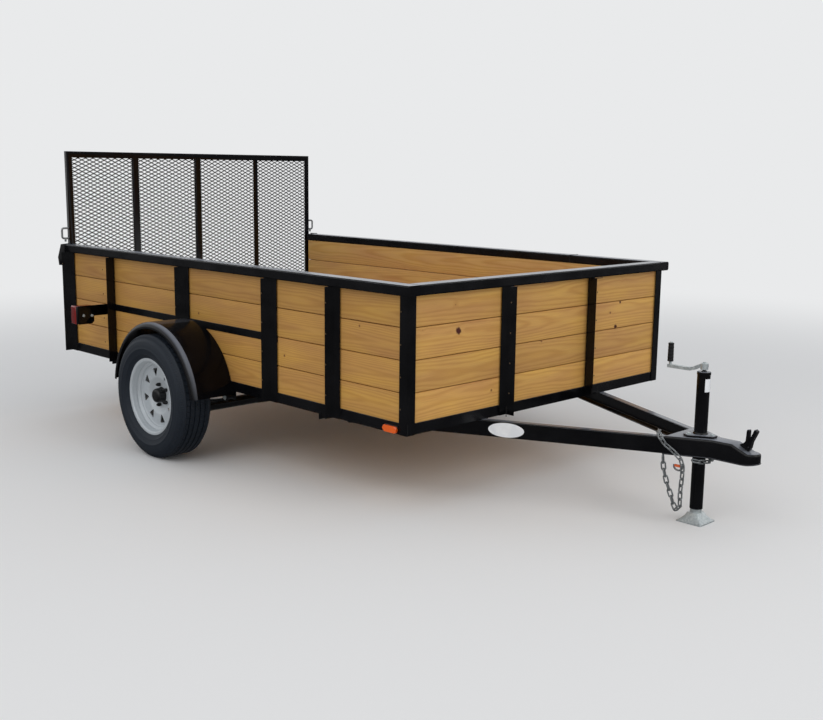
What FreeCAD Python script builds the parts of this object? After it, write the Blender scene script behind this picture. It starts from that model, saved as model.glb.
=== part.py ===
"""Single-axle utility trailer: plank walls in a steel frame, mesh ramp gate, coupler and tongue jack.

Frame of the part: +X forward to the coupler, +Y to the trailer's left, +Z up, millimetres.
The origin lies on the ground under the middle of the trailer's overall length and width.
"ahead" in a name or note is a distance forward of the front posts' outer face, behind it is negative.
"""
import FreeCAD, Part
import Sketcher
import math
import os
import re

# Driving dimensions: alias, millimetres (degrees for angles, plain for counts), meaning
SIZES = (
    ("bed_length", 2995, "front posts' outer face to the rear end of the rails"),
    ("bed_width", 1934, "over the outer faces of the side posts"),
    ("frame_base", 386, "ground to the underside of the main rails"),
    ("angle_leg", 51, "leg of the frame's angle iron"),
    ("angle_wall", 4.8, "wall of the frame's angle iron"),
    ("deck_thick", 38, "thickness of the deck planks"),
    ("deck_count", 10, "number of deck planks"),
    ("deck_gap", 6, "gap between deck planks"),
    ("board_thick", 38, "thickness of the wall boards"),
    ("board_height", 139, "height of a wall board"),
    ("board_count", 4, "boards in the height of a wall"),
    ("board_gap", 4, "gap between wall boards"),
    ("top_rail_width", 76, "width of the top rail's tube"),
    ("top_rail_height", 46, "height of the top rail's tube"),
    ("top_rail_wall", 3, "wall of the top rail's tube"),
    ("top_rail_proud", 25, "top rail's overhang outside the posts"),
    ("mid_rail_height", 38, "height of the strip over the fender"),
    ("mid_rail_top", 723, "ground to the top of that strip"),
    ("front_post_inner", 307, "centreline to the inner edge of a front post"),
    ("wide_flat", 64, "flat of the wide side posts"),
    ("first_post_behind", 443, "front face to the first side post"),
    ("second_post_behind", 910, "front face to the second side post"),
    ("fender_post_lead", 15, "fender post's front edge ahead of the axle"),
    ("lamp_post_from_rear", 541, "lamp post's front edge, from the rails' rear end"),
    ("first_cross_behind", 610, "front face to the first crossmember"),
    ("last_cross_from_rear", 435, "last crossmember, from the rails' rear end"),
    ("cross_count", 5, "number of crossmembers"),
    ("cross_drop", 51, "height of a crossmember"),
    ("tongue_height", 76, "height of the tongue's channel"),
    ("tongue_flange", 38, "width of the tongue's channel"),
    ("tongue_wall", 5, "wall of the tongue's channel"),
    ("tongue_spread", 480, "half width of the tongue at the front face"),
    ("tongue_slope", 0.476, "inward run of the tongue for each millimetre forward"),
    ("tongue_tip_gap", 3, "front ends of the channels to the jack's tube"),
    ("coupler_ahead", 745, "rear edge of the coupler"),
    ("coupler_wall", 5, "wall of the coupler's pressing"),
    ("coupler_drop", 82, "height of the coupler at its rear edge"),
    ("coupler_nose_height", 52, "height of the coupler's nose"),
    ("ball_ahead", 1094, "centre of the ball socket"),
    ("coupler_slope", 70, "length of the coupler's slope down to the ball centre"),
    ("nose_radius", 42, "outside of the nose round the ball socket"),
    ("socket_radius", 25.8, "inside of the ball socket"),
    ("socket_depth", 22, "straight part of the ball socket"),
    ("latch_width", 22, "width of the coupler's latch"),
    ("jack_ahead", 851, "axis of the jack"),
    ("jack_tube_radius", 28.5, "outside of the jack's outer tube"),
    ("jack_tube_wall", 3, "wall of the jack's outer tube"),
    ("jack_tube_top", 676, "ground to the top of the jack's tube"),
    ("jack_tube_base", 60, "ground to the lower end of the jack's tube"),
    ("jack_end_wall", 12, "solid end above the jack's bore"),
    ("jack_slip", 0.4, "gap between the jack's tubes"),
    ("jack_leg_top", 520, "ground to the upper end of the inner tube"),
    ("jack_plate_reach", 78, "jack's axis to the corners of its mounting plate"),
    ("jack_plate_thick", 9, "thickness of the jack's mounting plate"),
    ("jack_plate_corner", 14, "half angle of a cut corner of that plate, in degrees"),
    ("jack_cap_height", 14, "height of the jack's cap"),
    ("jack_cap_wall", 1.5, "cap's reach outside the tube"),
    ("crank_rise", 8, "jack's cap to the crank's hub"),
    ("crank_hub_radius", 14, "outside of the crank's hub"),
    ("crank_hub_height", 28, "height of the crank's hub"),
    ("crank_bend", 70, "jack's axis to the bend of the crank's arm"),
    ("crank_drop", 20, "drop of the crank's arm at its bend"),
    ("crank_reach", 170, "jack's axis to the crank's grip"),
    ("crank_width", 20, "width of the crank's arm"),
    ("crank_thick", 9, "thickness of the crank's arm"),
    ("crank_pin_radius", 6, "pin through the grip"),
    ("crank_pin_proud", 6, "that pin's reach above the grip"),
    ("grip_radius", 14, "outside of the grip"),
    ("grip_length", 83, "length of the grip"),
    ("grip_lift", 20, "crank's arm to the grip"),
    ("foot_side", 125, "side of the jack's foot plate"),
    ("foot_thick", 5, "thickness of the jack's foot plate"),
    ("foot_socket_height", 38, "height of the foot's socket"),
    ("foot_socket_flare", 18, "base of the foot's socket, outside the inner tube"),
    ("foot_socket_wall", 3, "top of the foot's socket, outside the inner tube"),
    ("leg_end_wall", 6, "solid lower end of the inner tube"),
    ("axle_ahead", -1686, "axle, from the front face"),
    ("wheel_gap", 65.3, "side rail's face to the tyre"),
    ("axle_drop", 102, "spindle's height above the axle tube"),
    ("axle_tube_radius", 30, "outside of the axle tube"),
    ("axle_arm_inset", 48, "middle of a spring to the axle's arm"),
    ("axle_arm_width", 64, "width of the axle's arm"),
    ("axle_arm_thick", 22, "thickness of the axle's arm"),
    ("spring_seat_length", 90, "length of a spring's seat"),
    ("spring_seat_rise", 5, "spring's seat above the axle tube"),
    ("spindle_radius", 17, "outside of the spindle"),
    ("spindle_slip", 0.3, "gap between spindle and hub"),
    ("wheel_sides", 40, "flat sides that stand for the round of a tyre or wheel"),
    ("tyre_radius", 328, "outside of the tyre"),
    ("tyre_width", 205, "section width of the tyre"),
    ("tread_width", 152, "width of the tread"),
    ("tyre_wall", 14, "thickness of the tyre's wall"),
    ("bead_radius", 190, "bead seat of the rim"),
    ("bead_gap", 0.3, "gap between the tyre and its seat"),
    ("flange_gap", 1, "gap between the tyre and the rim's flange"),
    ("rim_flange_radius", 205, "edge of the rim"),
    ("rim_width", 152, "between the rim's flanges"),
    ("rim_wall", 5, "wall of the rim"),
    ("rim_well_radius", 166, "drop centre of the rim"),
    ("disc_dish", 22, "the disc's crown, outward of its mounting face"),
    ("disc_bore_radius", 42, "centre hole of the disc"),
    ("disc_land_radius", 76, "flat of the disc round its nuts"),
    ("disc_crown_radius", 124, "middle of the disc's crown"),
    ("disc_crown_half", 25, "half width of the disc's crown"),
    ("disc_edge_reach", 6, "disc's outer edge, outward of its mounting face"),
    ("window_count", 8, "three-cornered windows in the disc"),
    ("window_turn", 12, "first window's middle above straight ahead, in degrees"),
    ("window_outer", 148, "axle to a window's outer side"),
    ("window_inner", 112, "axle to a window's inner corner"),
    ("window_half", 20, "half width of a window's outer side"),
    ("hub_flange_radius", 71, "outside of the hub's flange"),
    ("hub_flange_thick", 10, "thickness of the hub's flange"),
    ("hub_barrel_radius", 36, "outside of the hub's barrel"),
    ("hub_barrel_depth", 62, "hub's barrel inboard of the mounting face"),
    ("hub_pilot_radius", 40, "hub's pilot in the disc's centre hole"),
    ("hub_pilot_height", 10, "height of the pilot"),
    ("hub_sides", 24, "flat sides that stand for the round of a hub"),
    ("hub_cap_radius", 36, "outside of the hub's grease cap"),
    ("hub_cap_reach", 50, "grease cap's reach past the mounting face"),
    ("hub_cap_bevel", 8, "bevel of the grease cap's end"),
    ("hub_end_wall", 12, "grease cap's end"),
    ("spindle_end_gap", 2, "spindle's end to the grease cap"),
    ("nut_circle_radius", 57.15, "circle of the wheel nuts"),
    ("nut_count", 5, "wheel nuts"),
    ("nut_radius", 11, "wheel nut over its corners"),
    ("nut_height", 20, "height of a wheel nut"),
    ("stud_radius", 6.35, "radius of a wheel stud"),
    ("stud_proud", 5, "stud's reach past its nut"),
    ("stud_hole_radius", 7, "radius of the disc's stud holes"),
    ("fender_radius", 400, "outside of the fender, about the wheel's axis"),
    ("fender_axis_height", 320, "ground to the fender's centre"),
    ("fender_wall", 3, "sheet of the fender"),
    ("fender_width", 237.8, "side rail's face to the fender's outer lip"),
    ("fender_base", 368, "ground to the fender's ends"),
    ("fender_roll", 26, "rounding between the fender's crown and its lip"),
    ("fender_sides", 48, "flat sides that stand for the whole round of a fender"),
    ("fender_lip", 34, "depth of the fender's outer lip"),
    ("spring_centre", 937, "centreline to the middle of a leaf spring"),
    ("spring_width", 45, "width of a leaf spring"),
    ("spring_reach", 330, "axle to each spring eye"),
    ("spring_rise", 55, "spring eye above the middle of the main leaf"),
    ("leaf_thick", 7, "thickness of a leaf"),
    ("leaf_count", 4, "leaves of a spring"),
    ("eye_radius", 14, "outside of a spring eye"),
    ("eye_pin_radius", 7, "pin through a spring eye"),
    ("hanger_wall", 5, "plate of a spring hanger"),
    ("hanger_width", 44, "width of a hanger's cheek"),
    ("hanger_top_width", 56, "width of a hanger's top plate"),
    ("hanger_foot", 20, "spring eye to a cheek's lower end"),
    ("hanger_gap", 1, "gap between a cheek and the spring"),
    ("hanger_pin_proud", 4, "pin's reach past a cheek"),
    ("gate_half_width", 947, "centreline to the gate's outer edge"),
    ("gate_height", 1219, "height of the gate"),
    ("gate_depth", 25, "depth of the gate's angle iron"),
    ("gate_face", 38, "face of the gate's angle iron"),
    ("gate_wall", 3.2, "wall of the gate's angle iron"),
    ("gate_gap", 16, "rails' rear end to the gate"),
    ("gate_bay", 470, "centreline to the middle of an inner gate upright"),
    ("mesh_thick", 2, "thickness of the gate's mesh"),
    ("pin_radius", 8, "gate's hinge pin"),
    ("pin_slip", 0.3, "gap round the hinge pin"),
    ("pin_proud", 8, "hinge pin's reach past its lug"),
    ("lug_thick", 10, "thickness of a hinge lug"),
    ("lug_gap", 5, "gap between gate and lug"),
    ("lug_radius", 18, "round end of a hinge lug"),
    ("latch_bar_half", 6, "half the thickness of a latch handle's bar"),
    ("latch_lift", 34, "latch handle's lower rod above the top rail"),
    ("latch_height", 62, "height of a latch handle's loop"),
    ("latch_reach", 42, "latch handle's reach outside the gate"),
    ("latch_pin_drop", 20, "latch pin below the handle's lower rod"),
    ("keeper_drop", 86, "latch keeper below the top rail"),
    ("keeper_reach", 43, "latch keeper's reach outside the top rail"),
    ("keeper_rise", 6, "latch keeper above the top rail"),
    ("lamp_arm_top", 722, "ground to the top of the tail lamp's arm"),
    ("lamp_arm_height", 62, "height of the tail lamp's arm"),
    ("lamp_arm_length", 208, "side rail's face to the end of the lamp's arm"),
    ("lamp_plate_drop", 45, "lamp's plate below the arm"),
    ("lamp_plate_width", 98, "width of the lamp's plate"),
    ("lamp_plate_bevel", 14, "cut corner of the lamp's plate"),
    ("lamp_width", 106, "width of a tail lamp"),
    ("lamp_height", 106, "height of a tail lamp"),
    ("lamp_depth", 66, "depth of a tail lamp"),
    ("lamp_proud", 12, "tail lamp's reach past the end of its arm"),
    ("marker_length", 90, "length of an amber side marker"),
    ("marker_height", 34, "height of a side marker"),
    ("marker_depth", 18, "depth of a side marker"),
    ("marker_ahead", -98, "middle of the side marker"),
    ("marker_middle", 406, "ground to the middle of the side marker"),
)
ALIASES = {alias for alias, _, _ in SIZES}

# Heights and places that follow from the driving dimensions
DECK_TOP = "(frame_base + angle_wall + deck_thick)"
WALL_TOP = f"({DECK_TOP} + board_count * board_height + (board_count - 1) * board_gap)"
RAIL_TOP = f"({WALL_TOP} + top_rail_height)"
POST_FACE = "(bed_width / 2)"
RAIL_FACE = f"({POST_FACE} - angle_wall)"
BOARD_FACE = f"({RAIL_FACE} - angle_wall)"
HUB_FACE = f"({RAIL_FACE} + wheel_gap + tyre_width / 2)"
FENDER_FACE = f"({RAIL_FACE} + fender_width)"
HINGE_BEHIND = "(bed_length + gate_gap + gate_depth / 2)"
HINGE_HEIGHT = "(frame_base + gate_face / 2)"
NOSE_REACH = "(ball_ahead + nose_radius)"
FRONT_X = f"(({HINGE_BEHIND} + lug_radius - {NOSE_REACH}) / 2)"
AXLE_X = f"({FRONT_X} + axle_ahead)"
HINGE_X = f"({FRONT_X} - {HINGE_BEHIND})"
JACK_X = f"({FRONT_X} + jack_ahead)"

doc = FreeCAD.newDocument("utility_trailer")
sheet = doc.addObject("Spreadsheet::Sheet", "Sizes")
for row, (alias, number, meaning) in enumerate(SIZES, start=1):
    sheet.set(f"A{row}", meaning)
    sheet.set(f"B{row}", str(number))
    sheet.setAlias(f"B{row}", alias)
doc.recompute()

X_AXIS = FreeCAD.Vector(1, 0, 0)
Y_AXIS = FreeCAD.Vector(0, 1, 0)
Z_AXIS = FreeCAD.Vector(0, 0, 1)
nodes = []


def bound(text):
    """The expression with each alias read from the sheet."""

    def named(word):
        return f"Sizes.{word.group()}" if word.group() in ALIASES else word.group()

    return re.sub(r"[a-z_]+", named, str(text))


def value(text):
    """The number that an expression gives now."""
    return float(sheet.evalExpression(bound(text)))


def place(thing, x="0", y="0", z="0", turn=None):
    """Puts an object at a place that follows the sheet."""
    if turn is not None:
        thing.Placement = FreeCAD.Placement(FreeCAD.Vector(), turn)
    for axis, text in zip("xyz", (x, y, z)):
        thing.setExpression(f".Placement.Base.{axis}", bound(text))
    return thing


def node(thing, label):
    """Names a sub-part and lists it for writing."""
    thing.Label = label
    nodes.append(thing)
    return thing


def box(name, size, corner):
    solid = doc.addObject("Part::Box", name)
    for side, text in zip(("Length", "Width", "Height"), size):
        solid.setExpression(side, bound(text))
    return place(solid, *corner)


def rod(name, radius, length, start, direction=Z_AXIS):
    solid = doc.addObject("Part::Cylinder", name)
    solid.setExpression("Radius", bound(radius))
    solid.setExpression("Height", bound(length))
    return place(solid, *start, turn=FreeCAD.Rotation(Z_AXIS, direction))


def prism(name, sides, radius, length, start, direction=Z_AXIS):
    """A regular prism, its radius measured to the corners."""
    solid = doc.addObject("Part::Prism", name)
    solid.Polygon = sides
    solid.setExpression("Circumradius", bound(radius))
    solid.setExpression("Height", bound(length))
    return place(solid, *start, turn=FreeCAD.Rotation(Z_AXIS, direction))


def fused(name, pieces):
    whole = doc.addObject("Part::MultiFuse", name)
    whole.Shapes = pieces
    return whole


def cut(name, base, tool):
    left = doc.addObject("Part::Cut", name)
    left.Base = base
    left.Tool = tool
    return left


def common(name, first, second):
    both = doc.addObject("Part::MultiCommon", name)
    both.Shapes = [first, second]
    return both


def group(name, pieces):
    """Like pieces that don't touch, kept as one sub-part."""
    whole = doc.addObject("Part::Compound", name)
    whole.Links = pieces
    return whole


def mirrored(name, source):
    """The left-hand twin of a right-hand piece."""
    twin = doc.addObject("Part::Mirroring", name)
    twin.Source = source
    twin.Base = FreeCAD.Vector()
    twin.Normal = Y_AXIS
    return twin


def pair(name, source):
    """Labels a right-hand piece and its mirror image as two sub-parts."""
    node(source, f"{name}_right")
    return node(mirrored(f"{name}_mirror", source), f"{name}_left")


def outline(sketch, points):
    """A closed run of lines through points given as expressions, each pinned to the sheet."""
    first = sketch.GeometryCount
    corners = [FreeCAD.Vector(value(u), value(v), 0) for u, v in points]
    count = len(corners)
    for i in range(count):
        sketch.addGeometry(Part.LineSegment(corners[i], corners[(i + 1) % count]))
    for i in range(count):
        sketch.addConstraint(Sketcher.Constraint("Coincident", first + i, 2, first + (i + 1) % count, 1))
    for i, point in enumerate(points):
        pin_vertex(sketch, first + i, point)


def pin_vertex(sketch, line, point):
    for kind, text in zip(("DistanceX", "DistanceY"), point):
        datum = Sketcher.Constraint(kind, -1, 1, line, 1, value(text))
        index = sketch.addConstraint(datum)
        sketch.setExpression(f"Constraints[{index}]", bound(text))


def sketch_on(body, plane, name, *outlines):
    """A sketch on one of the body's own planes: XY, XZ or YZ."""
    sketch = body.newObject("Sketcher::SketchObject", name)
    origin_plane = next(p for p in body.Origin.OriginFeatures if p.Role == f"{plane}_Plane")
    sketch.AttachmentSupport = (origin_plane, [""])
    sketch.MapMode = "FlatFace"
    for points in outlines:
        outline(sketch, points)
    return sketch


def padded(name, plane, outlines, length, corner=("0", "0", "0"), reverse=False):
    """A body padded from one sketch; the pad runs along +Z from XY, -Y from XZ and +X from YZ."""
    body = doc.addObject("PartDesign::Body", name)
    sketch = sketch_on(body, plane, f"{name}_sketch", *outlines)
    pad = body.newObject("PartDesign::Pad", f"{name}_pad")
    pad.Profile = sketch
    pad.setExpression("Length", bound(length))
    pad.Reversed = reverse
    sketch.Visibility = False
    return place(body, *corner)


def faceted(name, profile, sides):
    """A turned body with flat sides, from a closed profile of (radius, distance along Y) points."""
    count = int(value(sides))
    points = [(value(radius), value(along)) for radius, along in profile]

    def corner(point, step):
        turn = 2 * math.pi * step / count
        return FreeCAD.Vector(point[0] * math.cos(turn), point[1], point[0] * math.sin(turn))

    faces = []
    for first, second in zip(points, points[1:] + points[:1]):
        for step in range(count):
            loop = [corner(first, step), corner(second, step)]
            loop += [corner(point, step + 1) for point in (second, first) if point[0] > 0]
            if len(loop) > 2:
                faces.append(Part.Face(Part.makePolygon(loop + loop[:1])))
    shell = Part.makeCompound(faces)
    shell.sewShape()
    form = doc.addObject("Part::Feature", name)
    form.Shape = Part.makeSolid(shell.Shells[0])
    return form


def main_frame():
    """Perimeter rails of angle iron, with crossmembers between them under the deck."""
    section = (
        (f"-{RAIL_FACE}", "frame_base"),
        (f"angle_leg - {RAIL_FACE}", "frame_base"),
        (f"angle_leg - {RAIL_FACE}", "frame_base + angle_wall"),
        (f"angle_wall - {RAIL_FACE}", "frame_base + angle_wall"),
        (f"angle_wall - {RAIL_FACE}", "frame_base + angle_leg"),
        (f"-{RAIL_FACE}", "frame_base + angle_leg"),
    )
    side = padded("side_rail", "YZ", [section], "bed_length - 3 * angle_wall",
                  (f"{FRONT_X} - bed_length + angle_wall",))
    pair("main_rail", side)
    for label, heel, sense in (("main_rail_front", f"{FRONT_X} - angle_wall", "-"),
                               ("main_rail_rear", f"{FRONT_X} - bed_length", "+")):
        upright = box(f"{label}_upright", ("angle_wall", f"2 * {RAIL_FACE}", "angle_leg"),
                      (heel if sense == "+" else f"{heel} - angle_wall", f"-{RAIL_FACE}", "frame_base"))
        ledge_start = f"{heel} + angle_wall" if sense == "+" else f"{heel} - angle_leg"
        ledge = box(f"{label}_ledge",
                    ("angle_leg - angle_wall", f"2 * ({RAIL_FACE} - angle_leg)", "angle_wall"),
                    (ledge_start, f"angle_leg - {RAIL_FACE}", "frame_base"))
        node(fused(f"{label}_angle", [upright, ledge]), label)


def crossmembers():
    """Angle-iron bars across the frame, evenly spaced under the deck."""
    pitch = "(bed_length - first_cross_behind - last_cross_from_rear) / (cross_count - 1)"
    half = f"({RAIL_FACE} - angle_leg)"
    section = (
        ("0", "frame_base + angle_wall - cross_drop"),
        ("angle_wall", "frame_base + angle_wall - cross_drop"),
        ("angle_wall", "frame_base"),
        ("angle_leg", "frame_base"),
        ("angle_leg", "frame_base + angle_wall"),
        ("0", "frame_base + angle_wall"),
    )
    bars = []
    for i in range(int(value("cross_count"))):
        rear_edge = f"{FRONT_X} - first_cross_behind - {i} * {pitch} - angle_leg"
        bars.append(padded(f"crossmember_{i}", "XZ", [section], f"2 * {half}", (rear_edge, half, "0")))
    node(group("crossmember_set", bars), "crossmembers")


def deck():
    """Lengthwise planks resting on the rails' ledges and the crossmembers."""
    width = f"((2 * {BOARD_FACE} - (deck_count - 1) * deck_gap) / deck_count)"
    planks = []
    for i in range(int(value("deck_count"))):
        planks.append(box(f"deck_plank_{i}", ("bed_length - 4 * angle_wall", width, "deck_thick"),
                          (f"{FRONT_X} - bed_length + 2 * angle_wall",
                           f"{i} * ({width} + deck_gap) - {BOARD_FACE}", "frame_base + angle_wall")))
    node(group("deck_set", planks), "deck_planks")


def walls():
    """Four boards a side, standing on the deck inside the rails and posts."""
    side_boards = []
    front_boards = []
    for i in range(int(value("board_count"))):
        height = f"{DECK_TOP} + {i} * (board_height + board_gap)"
        side_boards.append(box(f"side_board_{i}",
                               ("bed_length - 4 * angle_wall", "board_thick", "board_height"),
                               (f"{FRONT_X} - bed_length + 2 * angle_wall", f"-{BOARD_FACE}", height)))
        inner = f"({BOARD_FACE} - board_thick)"
        front_boards.append(box(f"front_board_{i}", ("board_thick", f"2 * {inner}", "board_height"),
                                (f"{FRONT_X} - 2 * angle_wall - board_thick", f"-{inner}", height)))
    pair("planks", group("side_board_set", side_boards))
    node(group("front_board_set", front_boards), "planks_front")


LAMP_POST = "(bed_length - lamp_post_from_rear)"

# Side posts: name, front edge behind the front face, width of the flat, end of the flat that
# carries the outstanding leg (0 rear, 1 front), lower end
SIDE_POSTS = (
    ("first", "first_post_behind", "angle_leg", 0, "frame_base"),
    ("second", "second_post_behind", "wide_flat", 0, "frame_base"),
    ("fender", "(-axle_ahead - fender_post_lead)", "wide_flat", 0, "fender_axis_height + fender_radius"),
    ("lamp", LAMP_POST, "angle_leg", 1, "frame_base"),
    ("rear", "(bed_length - wide_flat)", "wide_flat", 0, "frame_base"),
)


def upright_angle(name, outlines_at, base):
    return padded(name, "XY", [outlines_at], f"{WALL_TOP} - ({base})", ("0", "0", base))


def posts():
    """Angle-iron uprights: a flat against the boards and a leg standing out."""
    right = []
    wall = "angle_wall"
    for name, behind, flat, leads, base in SIDE_POSTS:
        front = f"({FRONT_X} - {behind})"
        rear = f"({front} - {flat})"
        inner = f"-{RAIL_FACE}"
        tip = f"-({RAIL_FACE} + angle_leg)"
        face = f"-{POST_FACE}"
        if leads:
            plan = ((rear, inner), (front, inner), (front, tip), (f"{front} - {wall}", tip),
                    (f"{front} - {wall}", face), (rear, face))
        else:
            plan = ((front, inner), (front, face), (f"{rear} + {wall}", face), (f"{rear} + {wall}", tip),
                    (rear, tip), (rear, inner))
        right.append(upright_angle(f"post_{name}", plan, base))
    corner = ((FRONT_X, f"-{POST_FACE}"), (FRONT_X, f"angle_leg - {POST_FACE}"),
              (f"{FRONT_X} - {wall}", f"angle_leg - {POST_FACE}"), (f"{FRONT_X} - {wall}", f"-{RAIL_FACE}"),
              (f"{FRONT_X} - angle_leg", f"-{RAIL_FACE}"), (f"{FRONT_X} - angle_leg", f"-{POST_FACE}"))
    right.append(upright_angle("post_corner", corner, "frame_base"))
    pair("posts", group("side_post_set", right))
    front_posts = []
    for side, sign in (("right", "-"), ("left", "")):
        inner = f"{sign}front_post_inner"
        outer = f"{sign}(front_post_inner + angle_leg)"
        step = f"{sign}(front_post_inner + {wall})"
        behind = f"{FRONT_X} - {wall}"
        ahead = f"{FRONT_X} - {wall} + angle_leg"
        plan = ((behind, inner), (ahead, inner), (ahead, step), (FRONT_X, step), (FRONT_X, outer),
                (behind, outer))
        front_posts.append(upright_angle(f"front_post_{side}", plan, "frame_base"))
    node(group("front_post_set", front_posts), "posts_front")


def top_rails():
    """Rectangular tube over the boards and posts, open at its rear end."""
    outer_y = f"({POST_FACE} + top_rail_proud)"
    inner_y = f"({outer_y} - top_rail_width)"
    length = "(bed_length + top_rail_proud)"
    wall = "top_rail_wall"
    skin = box("side_top_rail_skin", (length, "top_rail_width", "top_rail_height"),
               (f"{FRONT_X} - bed_length", f"-{outer_y}", WALL_TOP))
    hollow = box("side_top_rail_hollow",
                 (length, f"top_rail_width - 2 * {wall}", f"top_rail_height - 2 * {wall}"),
                 (f"{FRONT_X} - bed_length - {wall}", f"{wall} - {outer_y}", f"{WALL_TOP} + {wall}"))
    pair("top_rail", cut("side_top_rail", skin, hollow))
    front_skin = box("front_top_rail_skin", ("top_rail_width", f"2 * {inner_y}", "top_rail_height"),
                     (f"{FRONT_X} + top_rail_proud - top_rail_width", f"-{inner_y}", WALL_TOP))
    front_hollow = box("front_top_rail_hollow",
                       (f"top_rail_width - 2 * {wall}", f"2 * {inner_y}", f"top_rail_height - 2 * {wall}"),
                       (f"{FRONT_X} + top_rail_proud - top_rail_width + {wall}", f"-{inner_y}",
                        f"{WALL_TOP} + {wall}"))
    node(cut("front_top_rail", front_skin, front_hollow), "top_rail_front")


def mid_rails():
    """Flat strip along the boards between the second post and the lamp post, over the fender."""
    start = f"{FRONT_X} - {LAMP_POST} - angle_leg"
    end = f"{FRONT_X} - second_post_behind"
    strip = box("mid_strip", (f"({end}) - ({start})", "angle_wall", "mid_rail_height"),
                (start, f"-{RAIL_FACE}", "mid_rail_top - mid_rail_height"))
    pair("mid_rail", strip)


def tongue_line(ahead, inset="0"):
    """Centreline distance of the tongue's outer face, less an inset square to it."""
    return f"(tongue_spread - tongue_slope * ({ahead}) - ({inset}) * sqrt(1 + tongue_slope * tongue_slope))"


def tongue():
    """Two channels that meet in the coupler, webs outward."""
    rear = "(-first_cross_behind)"
    tip = "(jack_ahead - jack_tube_radius - tongue_tip_gap)"

    def strip(outer_inset, inner_inset):
        return ((f"{FRONT_X} + {rear}", f"-{tongue_line(rear, outer_inset)}"),
                (f"{FRONT_X} + {tip}", f"-{tongue_line(tip, outer_inset)}"),
                (f"{FRONT_X} + {tip}", f"-{tongue_line(tip, inner_inset)}"),
                (f"{FRONT_X} + {rear}", f"-{tongue_line(rear, inner_inset)}"))

    base = "frame_base - tongue_height"
    blank = padded("tongue_blank", "XY", [strip("0", "tongue_flange")], "tongue_height", ("0", "0", base))
    hollow = padded("tongue_hollow", "XY", [strip("tongue_wall", "tongue_flange + tongue_wall")],
                    "tongue_height - 2 * tongue_wall", ("0", "0", f"{base} + tongue_wall"))
    pair("tongue", cut("tongue_channel", blank, hollow))


def coupler():
    """Pressed coupler: a flared skirt over the channels' ends, a narrowing neck and a socket nose."""
    top = "(frame_base + coupler_wall)"
    base = f"({top} - coupler_drop)"

    def plan(inset, rear):
        half = f"(nose_radius - ({inset}))"
        skirt = tongue_line(rear, f"({inset}) - coupler_wall")
        slant = f"(({inset}) - coupler_wall) * sqrt(1 + tongue_slope * tongue_slope)"
        meet = f"((tongue_spread - {slant} - {half}) / tongue_slope)"
        return ((f"{FRONT_X} + {rear}", f"-{skirt}"), (f"{FRONT_X} + {meet}", f"-{half}"),
                (f"{FRONT_X} + ball_ahead", f"-{half}"), (f"{FRONT_X} + ball_ahead", half),
                (f"{FRONT_X} + {meet}", half), (f"{FRONT_X} + {rear}", skirt))

    def side(inset):
        return ((f"{FRONT_X} + coupler_ahead - coupler_wall", base),
                (f"{FRONT_X} + {NOSE_REACH} + coupler_wall", base),
                (f"{FRONT_X} + {NOSE_REACH} + coupler_wall", f"{base} + coupler_nose_height - {inset}"),
                (f"{FRONT_X} + ball_ahead", f"{base} + coupler_nose_height - {inset}"),
                (f"{FRONT_X} + ball_ahead - coupler_slope", f"{top} - {inset}"),
                (f"{FRONT_X} + coupler_ahead - coupler_wall", f"{top} - {inset}"))

    def pressing(name, inset, rear):
        slab = padded(f"{name}_plan", "XY", [plan(inset, rear)], "2 * coupler_drop",
                      ("0", "0", f"{base} - coupler_drop / 2"))
        nose = rod(f"{name}_nose", f"nose_radius - ({inset})", "2 * coupler_drop",
                   (f"{FRONT_X} + ball_ahead", "0", f"{base} - coupler_drop / 2"))
        seen = padded(f"{name}_side", "XZ", [side(inset)], "4 * coupler_drop", ("0", "2 * coupler_drop", "0"))
        return common(f"{name}_form", fused(f"{name}_outline", [slab, nose]), seen)

    skin = pressing("coupler_skin", "0", "coupler_ahead")
    under = pressing("coupler_under", "coupler_wall", "coupler_ahead - coupler_wall")
    shell = cut("coupler_shell", skin, under)
    boss = rod("socket_boss", "nose_radius - coupler_wall / 2", "coupler_nose_height - coupler_wall / 2",
               (f"{FRONT_X} + ball_ahead", "0", base))
    bore = rod("socket_bore", "socket_radius", "socket_depth", (f"{FRONT_X} + ball_ahead", "0", base))
    dome = doc.addObject("Part::Sphere", "socket_dome")
    dome.setExpression("Radius", bound("socket_radius"))
    place(dome, f"{FRONT_X} + ball_ahead", "0", f"{base} + socket_depth")
    jack_hole = rod("coupler_jack_hole", "jack_tube_radius + jack_slip", "coupler_drop",
                    (JACK_X, "0", base))
    solid = fused("coupler_solid", [shell, boss])
    openings = fused("coupler_openings", [bore, dome, jack_hole])
    node(cut("coupler_pressing", solid, openings), "coupler")


# Side outline of the coupler's latch, standing open: millimetres ahead of the ball's centre and above
# the nose, first the trigger behind, then the notch, then the lever leaning forward
LATCH_OUTLINE = ((-48, 34), (-22, 44), (-20, 98), (-10, 98), (-6, 60), (14, 104), (28, 96), (2, 34))


def coupler_latch():
    """Latch on the coupler's slope, standing up as it does when the coupler is open."""
    seat = "((coupler_drop - coupler_nose_height) / coupler_slope)"
    lower = (("-6", f"6 * {seat}"), ("-56", f"56 * {seat}"))
    lever = padded("latch_lever", "XZ", [LATCH_OUTLINE + lower], "latch_width",
                   (f"{FRONT_X} + ball_ahead", "latch_width / 2",
                    "frame_base + coupler_wall - coupler_drop + coupler_nose_height"))
    node(lever, "coupler_latch")


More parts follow.
